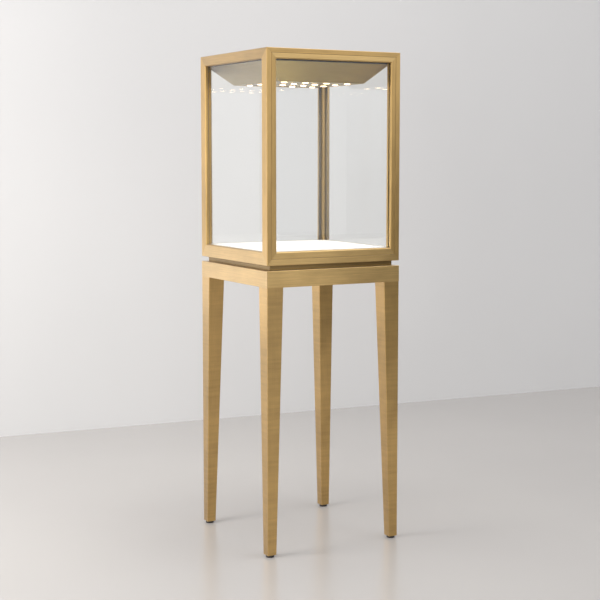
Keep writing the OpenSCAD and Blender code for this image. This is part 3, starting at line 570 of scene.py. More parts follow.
def new_effect(name):
    """Shader node group of an effect, with named inputs and outputs."""
    fill, values = EFFECTS[name]
    tree = bpy.data.node_groups.new(name, "ShaderNodeTree")

    def add_socket(label, way):
        kind = SOCKETS.get(label, "NodeSocketFloat")
        tree.interface.new_socket(name=label, in_out=way, socket_type=kind)

    for label in ("Coordinates", *values):
        add_socket(label, "INPUT")
    made = fill(tree, tree.nodes.new("NodeGroupInput").outputs)
    for label in made:
        add_socket(label, "OUTPUT")
    node(tree, "NodeGroupOutput", made)
    return tree


def object_at(tree):
    return node(tree, "ShaderNodeTexCoord").outputs["Object"]


def grain_at(tree):
    return node(tree, "ShaderNodeUVMap", uv_map="grain").outputs[0]


def new_finish(name, effect_name, values, at=object_at, bump=None, constants=None):
    """Material whose colour, roughness and bump come from an effect, placed with its own
    values. A bump is a strength and a distance, and the constants go on the shader."""
    made = bpy.data.materials.new(f"{name}_finish")
    made.use_nodes = True
    tree = made.node_tree
    tree.nodes.clear()
    group = bpy.data.node_groups.get(effect_name) or new_effect(effect_name)
    inputs = {"Coordinates": at(tree), **values}
    effect = node(tree, "ShaderNodeGroup", inputs, node_tree=group).outputs
    links = {"Base Color": effect["Color"]}
    if "Roughness" in effect:
        links["Roughness"] = effect["Roughness"]
    if bump:
        inputs = {"Height": effect["Height"], "Strength": bump[0], "Distance": bump[1]}
        links["Normal"] = node(tree, "ShaderNodeBump", inputs).outputs[0]
    shader = node(tree, "ShaderNodeBsdfPrincipled", {**links, **(constants or {})})
    out = node(tree, "ShaderNodeOutputMaterial", {"Surface": shader.outputs[0]})
    return made, tree, shader, out


def clear_where(tree, amount, shader, out, colour=(1.0, 1.0, 1.0)):
    """Lets light pass through the surface by an amount."""
    clear = node(tree, "ShaderNodeBsdfTransparent", {"Color": colour}).outputs[0]
    mix = node(tree, "ShaderNodeMixShader", {0: amount, 1: shader.outputs[0], 2: clear})
    tree.links.new(mix.outputs[0], out.inputs["Surface"])


def brushed_brass(name, crest, deep, lacquer, streaks, cross_lines=0.0, on_map=True):
    """Brushed, lacquered brass in two tones. On a new piece the grain follows its map,
    and the shine spreads across it. On a carried-over node it runs along X."""
    looks = bpy.context.scene.case_finishes
    values = {
        "Crest": crest, "Deep": deep, "Streaks": streaks, "Clouds": looks.brass_clouds,
        "Cross lines": cross_lines, "Roughness": looks.brass_roughness,
    }
    constants = {"Metallic": 1.0, "Coat Weight": lacquer, "Coat Roughness": 0.3}
    at = object_at
    if on_map:
        constants.update({"Anisotropic": 0.7, "Anisotropic Rotation": 0.25})
        at = grain_at
    made, tree, shader, _ = new_finish(
        name, "Brushed grain", values, at, (0.12, 0.0004), constants
    )
    if on_map:
        tangent = node(tree, "ShaderNodeTangent", direction_type="UV_MAP", uv_map="grain")
        tree.links.new(tangent.outputs[0], shader.inputs["Tangent"])
    return made


def moulded(name, colour, grain_size, variation, roughness, bump, metallic=0.0):
    """A finish with the moulded grain: plastic, rubber or plating."""
    values = {
        "Tone": colour, "Grain size": grain_size, "Variation": variation, "Roughness": roughness
    }
    constants = {"Metallic": metallic}
    return new_finish(name, "Moulded grain", values, object_at, (bump, 0.0003), constants)[0]


def clear_glass(looks):
    """Clear float glass. Shadow rays see it as transparent, so lamps reach through it."""
    made, tree, shader, out = new_finish(
        "clear_glass", "Glass film", {"Tint": looks.glass, "Film": 0.03},
        constants={"Transmission Weight": 1.0, "IOR": 1.5},
    )
    ray = node(tree, "ShaderNodeLightPath").outputs["Is Shadow Ray"]
    clear_where(tree, ray, shader, out, (0.94, 0.97, 0.955))
    return made


def white_deck(looks):
    values = {"Tone": looks.deck, "Roughness": 0.3}
    return new_finish("white_deck", "Laminate", values, bump=(0.05, 0.0002))[0]


def lit_lens(looks):
    made, tree, shader, _ = new_finish(
        "lit_lens", "Lens glow",
        {"Tone": looks.lens, "Radius": bpy.context.scene.case_sizes.lens_r}, grain_at,
        constants={"Emission Strength": looks.lens_strength},
    )
    glow = shader.inputs["Base Color"].links[0].from_socket
    tree.links.new(glow, shader.inputs["Emission Color"])
    return made


def finish(name):
    """The material of that name, built on its first use."""
    made = bpy.data.materials.get(f"{name}_finish")
    if made:
        return made
    looks = bpy.context.scene.case_finishes
    brass, deep, rail, rail_sheen_deep, canopy, canopy_shade_deep = (
        np.array(getattr(looks, tone_name))
        for tone_name in ("brass", "brass_deep", "rail", "rail_sheen_deep", "canopy", "canopy_shade_deep")
    )
    # shade and top turn the brass into painted shade for the plinth and the top rails
    shade, top, streaks = looks.plinth_painted_shade, looks.top_rail_painted_shade, looks.brass_streaks
    full, thin = looks.lacquer, looks.thin_lacquer
    brasses = {
        "brushed_brass": (brass, deep, full, streaks),
        "leg_brass": (brass, deep, full, looks.leg_streaks, looks.cross_lines),
        "sheet_brass": (brass, 0.6 * brass + 0.4 * deep, full, streaks),
        # Painted shade: the top rails take the upright tones times the top-rail factor
        "top_brass": (top * brass, top * deep, full, streaks),
        # Painted sheen: level members take lighter, paler tones than the uprights
        "rail_brass": (rail, rail_sheen_deep, full, streaks),
        # Painted shade: the plinth takes darker rail tones under a thinner lacquer
        "shaded_brass": (shade * rail, shade * rail_sheen_deep, thin, streaks),
        # Painted shade: the canopy and its plate take darker tones under a thinner lacquer
        "canopy_brass": (canopy, canopy_shade_deep, thin, streaks),
        "brass_plate": (canopy, canopy_shade_deep, thin, streaks, 0.0, False),
        "brass_cover": (brass, deep, full, streaks, 0.0, False),
    }
    # Tone, size of the grain, variation, roughness, bump and metallic
    moulds = {
        "foot_plastic": (looks.foot, 0.0007, 0.12, 0.42, 0.1),
        "black_rubber": (looks.rubber, 0.0004, 0.15, 0.7, 0.15),
        # Painted light: the black rubber made lighter and warmer
        "grey_rubber": (looks.grey_rubber, 0.0004, 0.15, 0.6, 0.15),
        "plated_steel": (looks.steel, 0.003, 0.12, 0.36, 0.05, 1.0),
        "white_plastic": (looks.white_plastic, 0.0006, 0.04, 0.5, 0.08),
        "black_plastic": (looks.black_plastic, 0.0006, 0.12, 0.5, 0.12),
    }
    if name in brasses:
        return brushed_brass(name, *brasses[name])
    if name in moulds:
        return moulded(name, *moulds[name])
    others = {"clear_glass": clear_glass, "white_deck": white_deck, "lit_lens": lit_lens}
    return others[name](looks)


# Pieces

# Sizes and clearances of the solids that no box gives
BEAD_STOP = 17 * MM
BEAD_W = 9 * MM
DOOR_CLEAR = 1 * MM
FRAME_CLEAR = 0.5 * MM
GASKET_LAP = 8 * MM
GASKET_T = 1 * MM
HEAD_PLATE_T = 6 * MM
PAD_CLEAR = 0.3 * MM
PLINTH_W = 20 * MM
WEB_IN = 9 * MM


def step_outline(w1, d1, w2, d2, bevel):
    """L section: an arm w1 by d1 and an arm that ends at (w2, d2), with a bevel on the
    outer edge of its end."""
    return [(0, 0), (w1, 0), (w1, d1), (w2, d1), (w2, d2), (bevel, d2), (0, d2 - bevel)]


def outer_eased(points, sizes):
    """The section with flats on its corners, the widest on the first, which is the outer
    edge of the frame."""
    return eased(points, [sizes.edge_ease] + [sizes.fine_ease] * (len(points) - 1), 2)


def on_side(side, depth, along, z):
    """Points at a depth in from a side of the square, at a length along it, at height z."""
    x, y = {
        "front": (along, -HALF + depth),
        "rear": (along, HALF - depth),
        "left": (-HALF + depth, along),
        "right": (HALF - depth, along),
    }[side]
    return np.stack([x, y, z], axis=-1)


def corner_mitre(depth, z):
    return HALF - depth


def build_legs(sizes):
    """Each leg is a square tube. The side at height z is w(z) = foot + (head - foot) * t,
    with t from 0 at the foot to 1 at the head; the two outer faces are plumb. The
    surface goes from the head down the outside, round the lower rim and up the inside
    to the head plate."""
    head_w, inset, ease = span("leg_front_left", 0), sizes.wall, 0.4 * MM
    z = np.array([
        Z_APRON, Z_FOOT + ease, Z_FOOT, Z_FOOT, Z_FOOT + ease, Z_APRON - HEAD_PLATE_T
    ])
    draw = np.array([0, 0, ease, inset - ease, inset, inset])
    w = sizes.leg_foot_w + (head_w - sizes.leg_foot_w) * (z - Z_FOOT) / (Z_APRON - Z_FOOT)
    flat_w = np.where(draw < inset - ease / 2, sizes.edge_ease, 0.6 * MM)
    corner = np.repeat([(0, 0), (1, 0), (1, 1), (0, 1)], 2, axis=0)
    inwards = np.repeat([(1, 1), (-1, 1), (-1, -1), (1, -1)], 2, axis=0)
    flat_ends = np.array([(0, 1), (1, 0), (-1, 0), (0, 1), (0, -1), (-1, 0), (1, 0), (0, -1)])
    w, draw, flat_w = (part[:, None, None] for part in (w, draw, flat_w))
    ring = w * corner + draw * inwards + flat_w * flat_ends
    for name, (sx, sy) in CORNERS.items():
        x, y = sx * (HALF - ring[..., 0]), sy * (HALF - ring[..., 1])
        rings = np.stack([x, y, np.broadcast_to(z[:, None], x.shape)], axis=-1)
        make_piece(f"Leg_{name}", [skin(rings)], "leg_brass")


def build_feet(sizes):
    """Each foot is a turned pad with eased rims and a shallow groove, on a stem."""
    r, stem_r = span("foot_front_left", 0) / 2, 4 * MM
    pad_h, stem_top = Z_FOOT - PAD_CLEAR, high("foot_front_left").z
    pad = [
        (2 * MM, 0), (r - 1.6 * MM, 0), (r - 0.3 * MM, 0.5 * MM), (r, 1.6 * MM),
        (r, 2.6 * MM), (r - 0.5 * MM, 3.0 * MM), (r, 3.4 * MM), (r, 5.2 * MM),
        (r - 0.4 * MM, pad_h - 0.5 * MM), (r - 1.4 * MM, pad_h), (stem_r, pad_h),
        (stem_r, stem_top - 0.6 * MM), (stem_r - 0.6 * MM, stem_top),
    ]
    part = turned(pad, 48)
    at = HALF - sizes.leg_foot_w / 2
    for name, (sx, sy) in CORNERS.items():
        make_piece(f"Foot_{name}", [moved(part, (sx * at, sy * at, 0))], "foot_plastic")


def mitred_bar(outline, side, z0, sizes):
    """Bar along one side of the square, mitred with its neighbours: at depth d it runs
    from -(half - d) to half - d."""
    return member(
        outline,
        lambda d, z: -corner_mitre(d, z),
        corner_mitre,
        lambda d, z, along: on_side(side, d, along, z0 + z),
        sizes,
    )


def build_apron(sizes):
    """Each rail is a folded channel, open inwards, with mitred ends."""
    h, f, t = Z_GAP - Z_APRON, span("apron_front", 1), sizes.wall
    outline = eased(
        [(0, 0), (f, 0), (f, t), (t, t), (t, h - t), (f, h - t), (f, h), (0, h)],
        [sizes.fine_ease] + [0.3 * MM] * 2 + [0.5 * MM] * 2 + [0.3 * MM] * 2 + [sizes.edge_ease],
        2,
    )
    for side in SIDES:
        part = mitred_bar(outline, side, Z_APRON, sizes)
        # The rail finish carries a painted sheen
        make_piece(f"Apron_{side}", [part], "rail_brass")


def build_plinth(sizes):
    """Four square tubes with mitred ends, set back in the shadow gap, in darker brass that is
    painted shade.
    """
    d0, h = HALF - high("plinth_bars").x, Z_CASE - Z_GAP
    d1 = d0 + PLINTH_W
    outline = eased([(d0, 0), (d1, 0), (d1, h), (d0, h)], 0.8 * MM)
    parts = [mitred_bar(outline, side, Z_GAP, sizes) for side in SIDES]
    # The plinth's darker brass is painted shade
    make_piece("Plinth_bars", parts, "shaded_brass")


def build_posts(sizes):
    """A front post is a block beside the door with a lip, and a rear post is a corner
    section. Point (a, b) of the section stands a in from the side and b in from the
    front or rear, and its ends follow the mitre planes of the three members that meet."""
    lip, bevel, w = sizes.lip, sizes.bevel, POST_W
    front = step_outline(FRONT_POST_W, DOOR_T + DOOR_CLEAR, lip, w, bevel)
    rear = [
        (0, 0), (w - bevel, 0), (w, bevel), (w, lip), (lip, lip), (lip, w), (bevel, w),
        (0, w - bevel),
    ]
    for name, (sx, sy) in CORNERS.items():
        section, s_top, s_low = (front, S_TOP, S_LOW) if sy < 0 else (rear, 1.0, 1.0)

        def start(a, b):
            return Z_CASE + K_LOW * np.maximum(s_low * a, b)

        def stop(a, b):
            return Z_TOP - K_TOP * np.maximum(s_top * a, b)

        def place(a, b, t):
            return np.stack([sx * (HALF - a), sy * (HALF - b), t], axis=-1)

        part = member(outer_eased(section, sizes), start, stop, place, sizes)
        make_piece(f"Post_{name}", [part])


def build_rails(sizes):
    """The side and rear rails are a lip with a flange; the head and sill rails are flat
    tubes. Point (d, h) of a section stands d in from the side and h from the top or
    bottom face, and its ends follow the mitre planes."""
    lip, w = sizes.lip, POST_W
    # The top rails' finish carries painted shade, and the bottom rails' finish a painted sheen
    levels = {
        "top": (TOP_RAIL_H, "Head_rail", HEAD_H, S_TOP, Z_TOP, -1, "top_brass"),
        "bottom": (LOW_RAIL_H, "Sill_rail", SILL_H, S_LOW, Z_CASE, 1, "rail_brass"),
    }
    for level, (rail_h, front_name, front_h, s, face, up, finish_name) in levels.items():
        section = outer_eased(step_outline(w, lip, lip, rail_h, sizes.bevel), sizes)
        for side in ("left", "right", "rear"):
            lead = 1.0 if side == "rear" else s
            part = member(
                section,
                lambda d, h: -HALF + np.maximum(w * h / rail_h, lead * d),
                lambda d, h: HALF - np.maximum(w * h / rail_h, d),
                lambda d, h, t: on_side(side, d, t, face + up * h),
                sizes,
            )
            make_piece(f"{level.capitalize()}_rail_{side}", [part], finish_name)

        def front_stop(d, h):
            return HALF - np.maximum(FRONT_POST_W * h / front_h, d / s)

        part = member(
            outer_eased([(0, 0), (w, 0), (w, front_h), (0, front_h)], sizes),
            lambda d, h: -front_stop(d, h),
            front_stop,
            lambda d, h, t: on_side("front", d, t, face + up * h),
            sizes,
        )
        make_piece(front_name, [part], finish_name)


def build_roof(sizes):
    """A folded lid: from the middle of its top out to the edge, down, out under the
    rails, and back up inside to its underside."""
    r = HALF - POST_W - FRAME_CLEAR
    lap = high("roof_panel").x - r
    z_low = low("roof_panel").z
    z_under = z_low + 2 * MM
    ease, t = 1.5 * MM, sizes.wall

    def square(half, z):
        return (-half, half, -half, half, z)

    stations = [
        square(r - ease, Z_TOP),
        square(r - 0.45 * ease, Z_TOP - 0.12 * ease),
        square(r - 0.12 * ease, Z_TOP - 0.45 * ease),
        square(r, Z_TOP - ease),
        square(r, z_under),
        (-r - lap, r + lap, -r, r + lap, z_under),
        (-r - lap, r + lap, -r, r + lap, z_low),
        square(r - t, z_low),
        square(r - t, Z_TOP - t),
    ]
    make_piece("Roof_panel", [framed(stations, 1.0 * MM, grain_round=False)], "sheet_brass")


def pane(node_name, ease, axis):
    """Sheet of glass that fills a CAD node's box, with flats along its edges."""
    lo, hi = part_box(node_name)
    return plate(box_outline(lo, hi, axis), lo[axis], hi[axis], ease, axis, 2)


def gasket_strips(a0, a1, z0, z1, sight0, sight1, place):
    """Four strips of gasket round a pane from a0 to a1. Their inner edges stand a little
    proud of the lips."""
    proud, t = 1 * MM, GASKET_T
    in0, in1, up, down = sight0 + proud, sight1 - proud, Z_SIGHT - proud, Z_DECK - GASKET_LAP
    strips = [
        bar((a0, 0, z0), (in0, t, z1), 0.25 * MM, 2),
        bar((in1, 0, z0), (a1, t, z1), 0.25 * MM, 2),
        bar((in0, 0, up), (in1, t, z1), 0.25 * MM, 0),
        bar((in0, 0, down), (in1, t, Z_DECK), 0.25 * MM, 0),
    ]
    return [outward(place(*points.T), faces) for points, faces in strips]


def build_glazing(sizes):
    """The three fixed panes with polished edges, the strips of gasket in front of them,
    and the four upright beads in the inside corners."""
    for side, axis in (("left", 0), ("right", 0), ("rear", 1)):
        part = pane(f"glass_{side}", sizes.glass_ease, axis)
        make_piece(f"Pane_{side}", [part], "clear_glass", f"glass_{side}")
    lip, w = sizes.lip, POST_W
    lo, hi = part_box("glass_gaskets")
    end = HALF - w + GASKET_LAP
    left = gasket_strips(
        low("glass_left").y, end, lo.z, hi.z, -HALF + w, HALF - w,
        lambda a, d, z: on_side("left", lip + d, a, z),
    )
    rear = gasket_strips(
        -end, end, lo.z, hi.z, -HALF + w, HALF - w,
        lambda a, d, z: on_side("rear", lip + GASKET_T - d, a, z),
    )
    right = [mirrored(part) for part in left]
    # The fixed panes' gaskets take the lightened rubber, which is painted light
    make_piece("Glass_gaskets", left + right + rear, "grey_rubber")
    lo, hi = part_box("corner_beads")
    beads = []
    for sx in (-1, 1):
        x0, x1 = sorted((sx * (hi.x - BEAD_W), sx * hi.x))
        for y0, y1 in ((lo.y, -HALF + w + FRAME_CLEAR), (hi.y - BEAD_W, hi.y)):
            beads.append(bar((x0, y0, lo.z), (x1, y1, Z_SIGHT - BEAD_STOP), 0.6 * MM))
    make_piece("Corner_beads", beads)


def build_deck(sizes):
    """White board with eased edges, notched round the corner beads."""
    lo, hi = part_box("deck_board")
    clear = 0.3 * MM
    x_in = high("corner_beads").x - BEAD_W - clear
    y0, y1 = -HALF + POST_W + FRAME_CLEAR + clear, high("corner_beads").y - BEAD_W - clear
    outline = [
        (-x_in, lo.y), (x_in, lo.y), (x_in, y0), (hi.x, y0), (hi.x, y1), (x_in, y1),
        (x_in, hi.y), (-x_in, hi.y), (-x_in, y1), (lo.x, y1), (lo.x, y0), (-x_in, y0),
    ]
    part = plate(eased(outline, 0.8 * MM), lo.z, hi.z, 0.6 * MM)
    make_piece("Deck_board", [part], "white_deck")


def build_canopy(sizes):
    """A sheet shell: its closed profile goes along the lower lip, up the slope, up the
    rim, in along the top flange and back down the inside, and is carried round the
    rectangle of the case. The seal strips lie round the rim."""
    lo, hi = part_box("canopy_shell")
    s_lo, s_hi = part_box("canopy_seal")
    base = high("canopy_plate").x + 2 * MM
    rim, front, rear = hi.x, -lo.y, hi.y
    z_can, z_rim, z_shoulder = lo.z, hi.z, s_lo.z
    t, lip, flange, lip_t = sizes.wall, 8 * MM, 15 * MM, 1.5 * MM
    inner = base - t + lip_t * (rim - base) / (z_shoulder - z_can)
    inner_front = base - t + lip_t * (front - base) / (z_shoulder - z_can)
    profile = [
        (base - lip, base - lip, z_can), (base, base, z_can), (rim, front, z_shoulder),
        (rim, front, z_rim), (rim - flange, front - flange, z_rim),
        (rim - flange, front - flange, z_rim - t), (rim - t, front - t, z_rim - t),
        (rim - t, front - t, z_shoulder), (inner, inner_front, z_can + lip_t),
        (base - lip, base - lip, z_can + lip_t),
    ]
    o, f, z = eased(profile, [0.3 * MM, 1.2 * MM, 1.5 * MM, 1.2 * MM] + [0.4 * MM] * 6, 5).T
    shell = framed(np.stack([-o, o, -f, o, z], axis=1), 1.2 * MM, closed=True)
    # The canopy finish carries painted shade
    make_piece("Canopy_shell", [shell], "canopy_brass")
    ease = 0.4 * MM
    strips = [
        bar((-s_hi.x, s_lo.y, s_lo.z), (-rim, s_hi.y, s_hi.z), ease, 1),
        bar((rim, s_lo.y, s_lo.z), s_hi, ease, 1),
        bar((-rim, s_lo.y, s_lo.z), (rim, -front, s_hi.z), ease, 0),
        bar((-rim, rear, s_lo.z), (rim, s_hi.y, s_hi.z), ease, 0),
    ]
    make_piece("Canopy_seal", strips, "black_rubber")


def build_lights(sizes):
    """Each light is a turned bezel, a collar with a rounded flange under the plate, and
    a turned lens with a low dome and a soft rim."""
    n, r = sizes.led_rows, sizes.lens_r
    step = (np.arange(n) - (n - 1) / 2) * sizes.led_pitch
    places = np.stack([a.ravel() for a in np.meshgrid(step, step)] + [np.zeros(n * n)], axis=1)
    lo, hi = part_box("led_bezels")
    bore, collar, flange = r + 0.2 * MM, r + 1.5 * MM, r + 3.4 * MM
    z_plate = low("canopy_plate").z
    bezel = eased(
        [
            (bore, lo.z), (flange - 0.2 * MM, lo.z), (flange, z_plate), (collar, z_plate),
            (collar, hi.z), (bore, hi.z),
        ],
        [0.4 * MM, 0.9 * MM, 0.1 * MM, 0.1 * MM, 0.3 * MM, 0.3 * MM],
        4,
    )
    ring = turned(bezel, closed=True)
    make_piece("Light_bezels", [moved(ring, p) for p in places], node_name="led_bezels")
    lo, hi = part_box("led_lenses")
    q = np.linspace(0, math.pi / 2, 6)
    ease, sag = 2 * MM, 0.4 * MM
    dome = [(1.5 * MM, lo.z), (r * 0.5, lo.z + 0.1 * MM)]
    rim = np.stack([r - ease + ease * np.sin(q), lo.z + sag + ease * (1 - np.cos(q))], axis=1)
    lens = turned(np.concatenate([dome, rim, [(r, hi.z)]]))
    make_piece("Light_lenses", [moved(lens, p) for p in places], "lit_lens", "led_lenses")


def build_door_frame(sizes):
    """Two stiles and two rails, each a lip in front of the glass with a web beside it,
    mitred on the face: at height h of its section a rail stops STILE_W h / H short. The
    outer faces stand out a little, so that the reveal is a fine line."""
    lip, bevel, fill = sizes.lip, sizes.bevel, sizes.door_fill
    for side, sx, grow in (("left", -1, fill), ("right", 1, sizes.pivot_fill)):
        section = step_outline(DOOR_T, STILE_W - WEB_IN, lip, STILE_W, bevel)
        section = np.array(section)[:, ::-1]
        section[section[:, 0] == 0, 0] = -grow

        def cut(a, rail_h):
            return (a + grow) * (rail_h + fill) / (STILE_W + grow) - fill

        part = member(
            eased(section, sizes.fine_ease),
            lambda a, b: Z_DOOR0 + cut(a, DOOR_LOW_H),
            lambda a, b: Z_DOOR1 - cut(a, DOOR_TOP_H),
            lambda a, b, t: np.stack([sx * (DOOR_HALF - a), -HALF + b, t], axis=-1),
            sizes,
        )
        make_piece(f"Door_stile_{side}", [part], body="door")
    for level, h, face, up in (
        ("top", DOOR_TOP_H, Z_DOOR1, -1), ("bottom", DOOR_LOW_H, Z_DOOR0, 1)
    ):
        section = np.array(step_outline(DOOR_T, h - WEB_IN, lip, h, bevel))
        section[section[:, 1] == 0, 1] = -fill

        def reach(z, grow):
            return DOOR_HALF + grow - (STILE_W + grow) * (z + fill) / (h + fill)

        part = member(
            eased(section, sizes.fine_ease),
            lambda d, z: -reach(z, fill),
            lambda d, z: reach(z, sizes.pivot_fill),
            lambda d, z, t: on_side("front", d, t, face + up * z),
            sizes,
        )
        # The rail finish carries a painted sheen
        make_piece(f"Door_rail_{level}", [part], "rail_brass", body="door")


def build_door_glazing(sizes):
    """The door's pane, the gasket in front of it and the four beads behind it."""
    part = pane("door_glass", sizes.glass_ease, 1)
    make_piece("Door_pane", [part], "clear_glass", "door_glass", "door")
    lo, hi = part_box("door_gasket")
    sight = DOOR_HALF - STILE_W
    strips = gasket_strips(
        lo.x, hi.x, lo.z, hi.z, -sight, sight,
        lambda a, d, z: on_side("front", sizes.lip + d, a, z),
    )
    make_piece("Door_gasket", strips, "black_rubber", body="door")
    lo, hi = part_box("door_beads")
    ease = 0.6 * MM
    beads = [
        bar((-hi.x, lo.y, lo.z), (-sight, hi.y, hi.z), ease),
        bar((sight, lo.y, lo.z), (hi.x, hi.y, hi.z), ease),
        bar((-sight, lo.y, hi.z - BEAD_W), (sight, hi.y, hi.z), ease, 0),
        bar((-sight, lo.y, lo.z), (sight, hi.y, lo.z + BEAD_W), ease, 0),
    ]
    make_piece("Door_beads", beads, body="door")


CARRIED_OVER = {
    "plated_steel": [
        "leg_plugs", "corner_gussets", "leg_bolts", "case_bolts", "cover_screws", "floor_pan",
        "deck_channels", "canopy_hangers", "door_fittings",
    ],
    "brass_cover": ["base_cover"],
    # The canopy plate's brass carries painted shade
    "brass_plate": ["canopy_plate"],
    "black_rubber": ["setting_blocks"],
    "black_plastic": ["cord_grommet", "led_driver", "catch_magnet", "pivot_bushes"],
    "white_plastic": ["led_board"],
}


def dress_inner_nodes():
    """The nodes whose own shape is right keep it, and get a finish."""
    for finish_name, names in CARRIED_OVER.items():
        for name in names:
            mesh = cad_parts[name].data
            mesh.materials.clear()
            mesh.materials.append(finish(finish_name))


# Stage

FLOOR_REACH = 14
WALL_FOOT = np.array([(-0.46, 1.82), (2.67, 1.54)])
WALL_H = 7
WALL_ENDS = (-9, 12)
# The flag paints dark reflections: a dark sheet beside the case that only glossy rays see
FLAG_Y = -1.4
FLAG_X = (0.75, 3.2)
FLAG_H = 1.45
FLAG_FADE = 0.4
DARK_REFLECTION_TONE = (0.15, 0.15, 0.15)
ROOM_TONE = (0.97, 0.98, 1.0)
NEUTRAL = (1.0, 1.0, 1.0)
WARM = (1.0, 0.97, 0.93)
CREAM = (1.0, 0.99, 0.97)
UNDER_LENSES = (0, 0, low("led_lenses").z - 2 * MM)
# Power, place, aim, size, colour, and whether gloss sees the lamp
LAMPS = {
    "Key": ("key_power", (-3.6, 0.6, 1.3), (0, 0, 0.8), (2.4, 1.7), (1.0, 0.98, 0.95), True),
    "Bounce": ("bounce_power", (-1.1, 1.55, 0.62), (-0.2, 0, 0.7), (0.7, 0.25), WARM, True),
    "Edge": ("edge_power", (-3.0, -1.7, 0.9), (0, 0, 0.8), (0.6, 1.8), WARM, True),
    "Fill": ("fill_power", (1.8, -3.2, 2.7), (0, 0, 1.0), (0.6, 1.2), NEUTRAL, True),
    "Wall": ("wall_power", (-2.3, 0.1, 1.9), (-1.2, 1.5, 0.1), (1.4, 1.4), CREAM, False),
    "Top": ("top_power", (0.9, -0.5, 4.2), (0.3, 0, 0), (2.4, 2.4), NEUTRAL, True),
    "Deck": ("led_power", UNDER_LENSES, (0, 0, 0), (0.25, 0.25), (1.0, 0.975, 0.93), False),
}
CAMERA_LENS = 79.45
CAMERA_SHIFT = -0.02
CAMERA_AT = (-1.9636, -3.5923, 1.1774)
CAMERA_TILT = 90 - 5.7124
CAMERA_TURN = -28.7332


def stage_sheet(name, corners, colour, roughness, clear):
    """Flat sheet of the stage, clear where the given function of its node tree says."""
    made, tree, shader, out = new_finish(
        name.lower(), "Slow tone", {"Tone": colour}, constants={"Roughness": roughness}
    )
    clear_where(tree, clear(tree), shader, out)
    mesh = bpy.data.meshes.new(name)
    mesh.from_pydata(corners, [], [(0, 1, 2, 3)])
    mesh.materials.append(made)
    obj = bpy.data.objects.new(name, mesh)
    bpy.context.scene.collection.objects.link(obj)
    obj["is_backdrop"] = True
    return obj


def from_behind(tree):
    return node(tree, "ShaderNodeNewGeometry").outputs["Backfacing"]


def near_edge(tree):
    """One less the product of two ramps: the flag fades out towards the floor and
    towards its top edge."""
    z = node(tree, "ShaderNodeSeparateXYZ", {0: object_at(tree)}).outputs[2]
    low_ramp = spread(tree, z, 0.0, FLAG_FADE)
    top_ramp = spread(tree, z, FLAG_H, FLAG_H - FLAG_FADE)
    return maths(tree, "SUBTRACT", 1.0, times(tree, low_ramp, top_ramp))


def soft_light(name, power, at, aim, size, colour, glossy):
    """Rectangular lamp at a place, aimed at another."""
    data = bpy.data.lights.new(name, "AREA")
    data.shape = "RECTANGLE"
    data.size, data.size_y = size
    data.energy = power
    data.color = colour
    obj = bpy.data.objects.new(name, data)
    bpy.context.scene.collection.objects.link(obj)
    obj.location = at
    obj.rotation_euler = (Vector(aim) - Vector(at)).to_track_quat("-Z", "Y").to_euler()
    obj.visible_camera = False
    obj.visible_glossy = glossy
    obj.visible_transmission = False


def build_stage(stage):
    """Floor, wall, a dark flag that only gloss sees, the lights and the camera."""
    r = FLOOR_REACH
    corners = [(-r, -r, 0), (r, -r, 0), (r, r, 0), (-r, r, 0)]
    stage_sheet("Stage_floor", corners, stage.floor, 0.24, from_behind)
    start, far = WALL_FOOT
    along = (far - start) / np.linalg.norm(far - start)
    left, right = (start + end * along for end in WALL_ENDS)
    corners = [(*left, 0), (*right, 0), (*right, WALL_H), (*left, WALL_H)]
    wall = stage_sheet("Stage_wall", corners, stage.wall, 0.8, from_behind)
    wall.visible_shadow = False
    x0, x1 = FLAG_X
    corners = [(x0, FLAG_Y, 0), (x1, FLAG_Y, 0), (x1, FLAG_Y, FLAG_H), (x0, FLAG_Y, FLAG_H)]
    flag = stage_sheet("Stage_flag", corners, DARK_REFLECTION_TONE, 0.9, near_edge)
    flag.visible_camera = flag.visible_diffuse = False
    flag.visible_shadow = flag.visible_transmission = False
    for name, (power_name, *setting) in LAMPS.items():
        soft_light(f"{name}_light", getattr(stage, power_name), *setting)
    scene = bpy.context.scene
    scene.world = bpy.data.worlds.new("Room")
    scene.world.use_nodes = True
    background = scene.world.node_tree.nodes["Background"]
    background.inputs["Color"].default_value = (*ROOM_TONE, 1.0)
    background.inputs["Strength"].default_value = stage.sky
    scene.view_settings.view_transform = "Standard"
    data = bpy.data.cameras.new("Photo_camera")
    data.lens = CAMERA_LENS
    data.shift_y = CAMERA_SHIFT
    camera = bpy.data.objects.new("Photo_camera", data)
    camera.location = CAMERA_AT
    camera.rotation_euler = (math.radians(CAMERA_TILT), 0, math.radians(CAMERA_TURN))
    scene.collection.objects.link(camera)
    scene.camera = camera


# Operators


class CASE_OT_legs(bpy.types.Operator):
    """Builds the four tapered legs"""

    bl_idname = "display_case.legs"
    bl_label = "Legs"

    def execute(self, context):
        build_legs(context.scene.case_sizes)
        return {"FINISHED"}


class CASE_OT_feet(bpy.types.Operator):
    """Builds the four levelling feet"""

    bl_idname = "display_case.feet"
    bl_label = "Feet"

    def execute(self, context):
        build_feet(context.scene.case_sizes)
        return {"FINISHED"}


class CASE_OT_apron(bpy.types.Operator):
    """Builds the four rails of the apron"""

    bl_idname = "display_case.apron"
    bl_label = "Apron rails"

    def execute(self, context):
        build_apron(context.scene.case_sizes)
        return {"FINISHED"}


class CASE_OT_plinth(bpy.types.Operator):
    """Builds the plinth bars in the shadow gap"""

    bl_idname = "display_case.plinth"
    bl_label = "Plinth bars"

    def execute(self, context):
        build_plinth(context.scene.case_sizes)
        return {"FINISHED"}


class CASE_OT_posts(bpy.types.Operator):
    """Builds the four corner posts"""

    bl_idname = "display_case.posts"
    bl_label = "Corner posts"

    def execute(self, context):
        build_posts(context.scene.case_sizes)
        return {"FINISHED"}


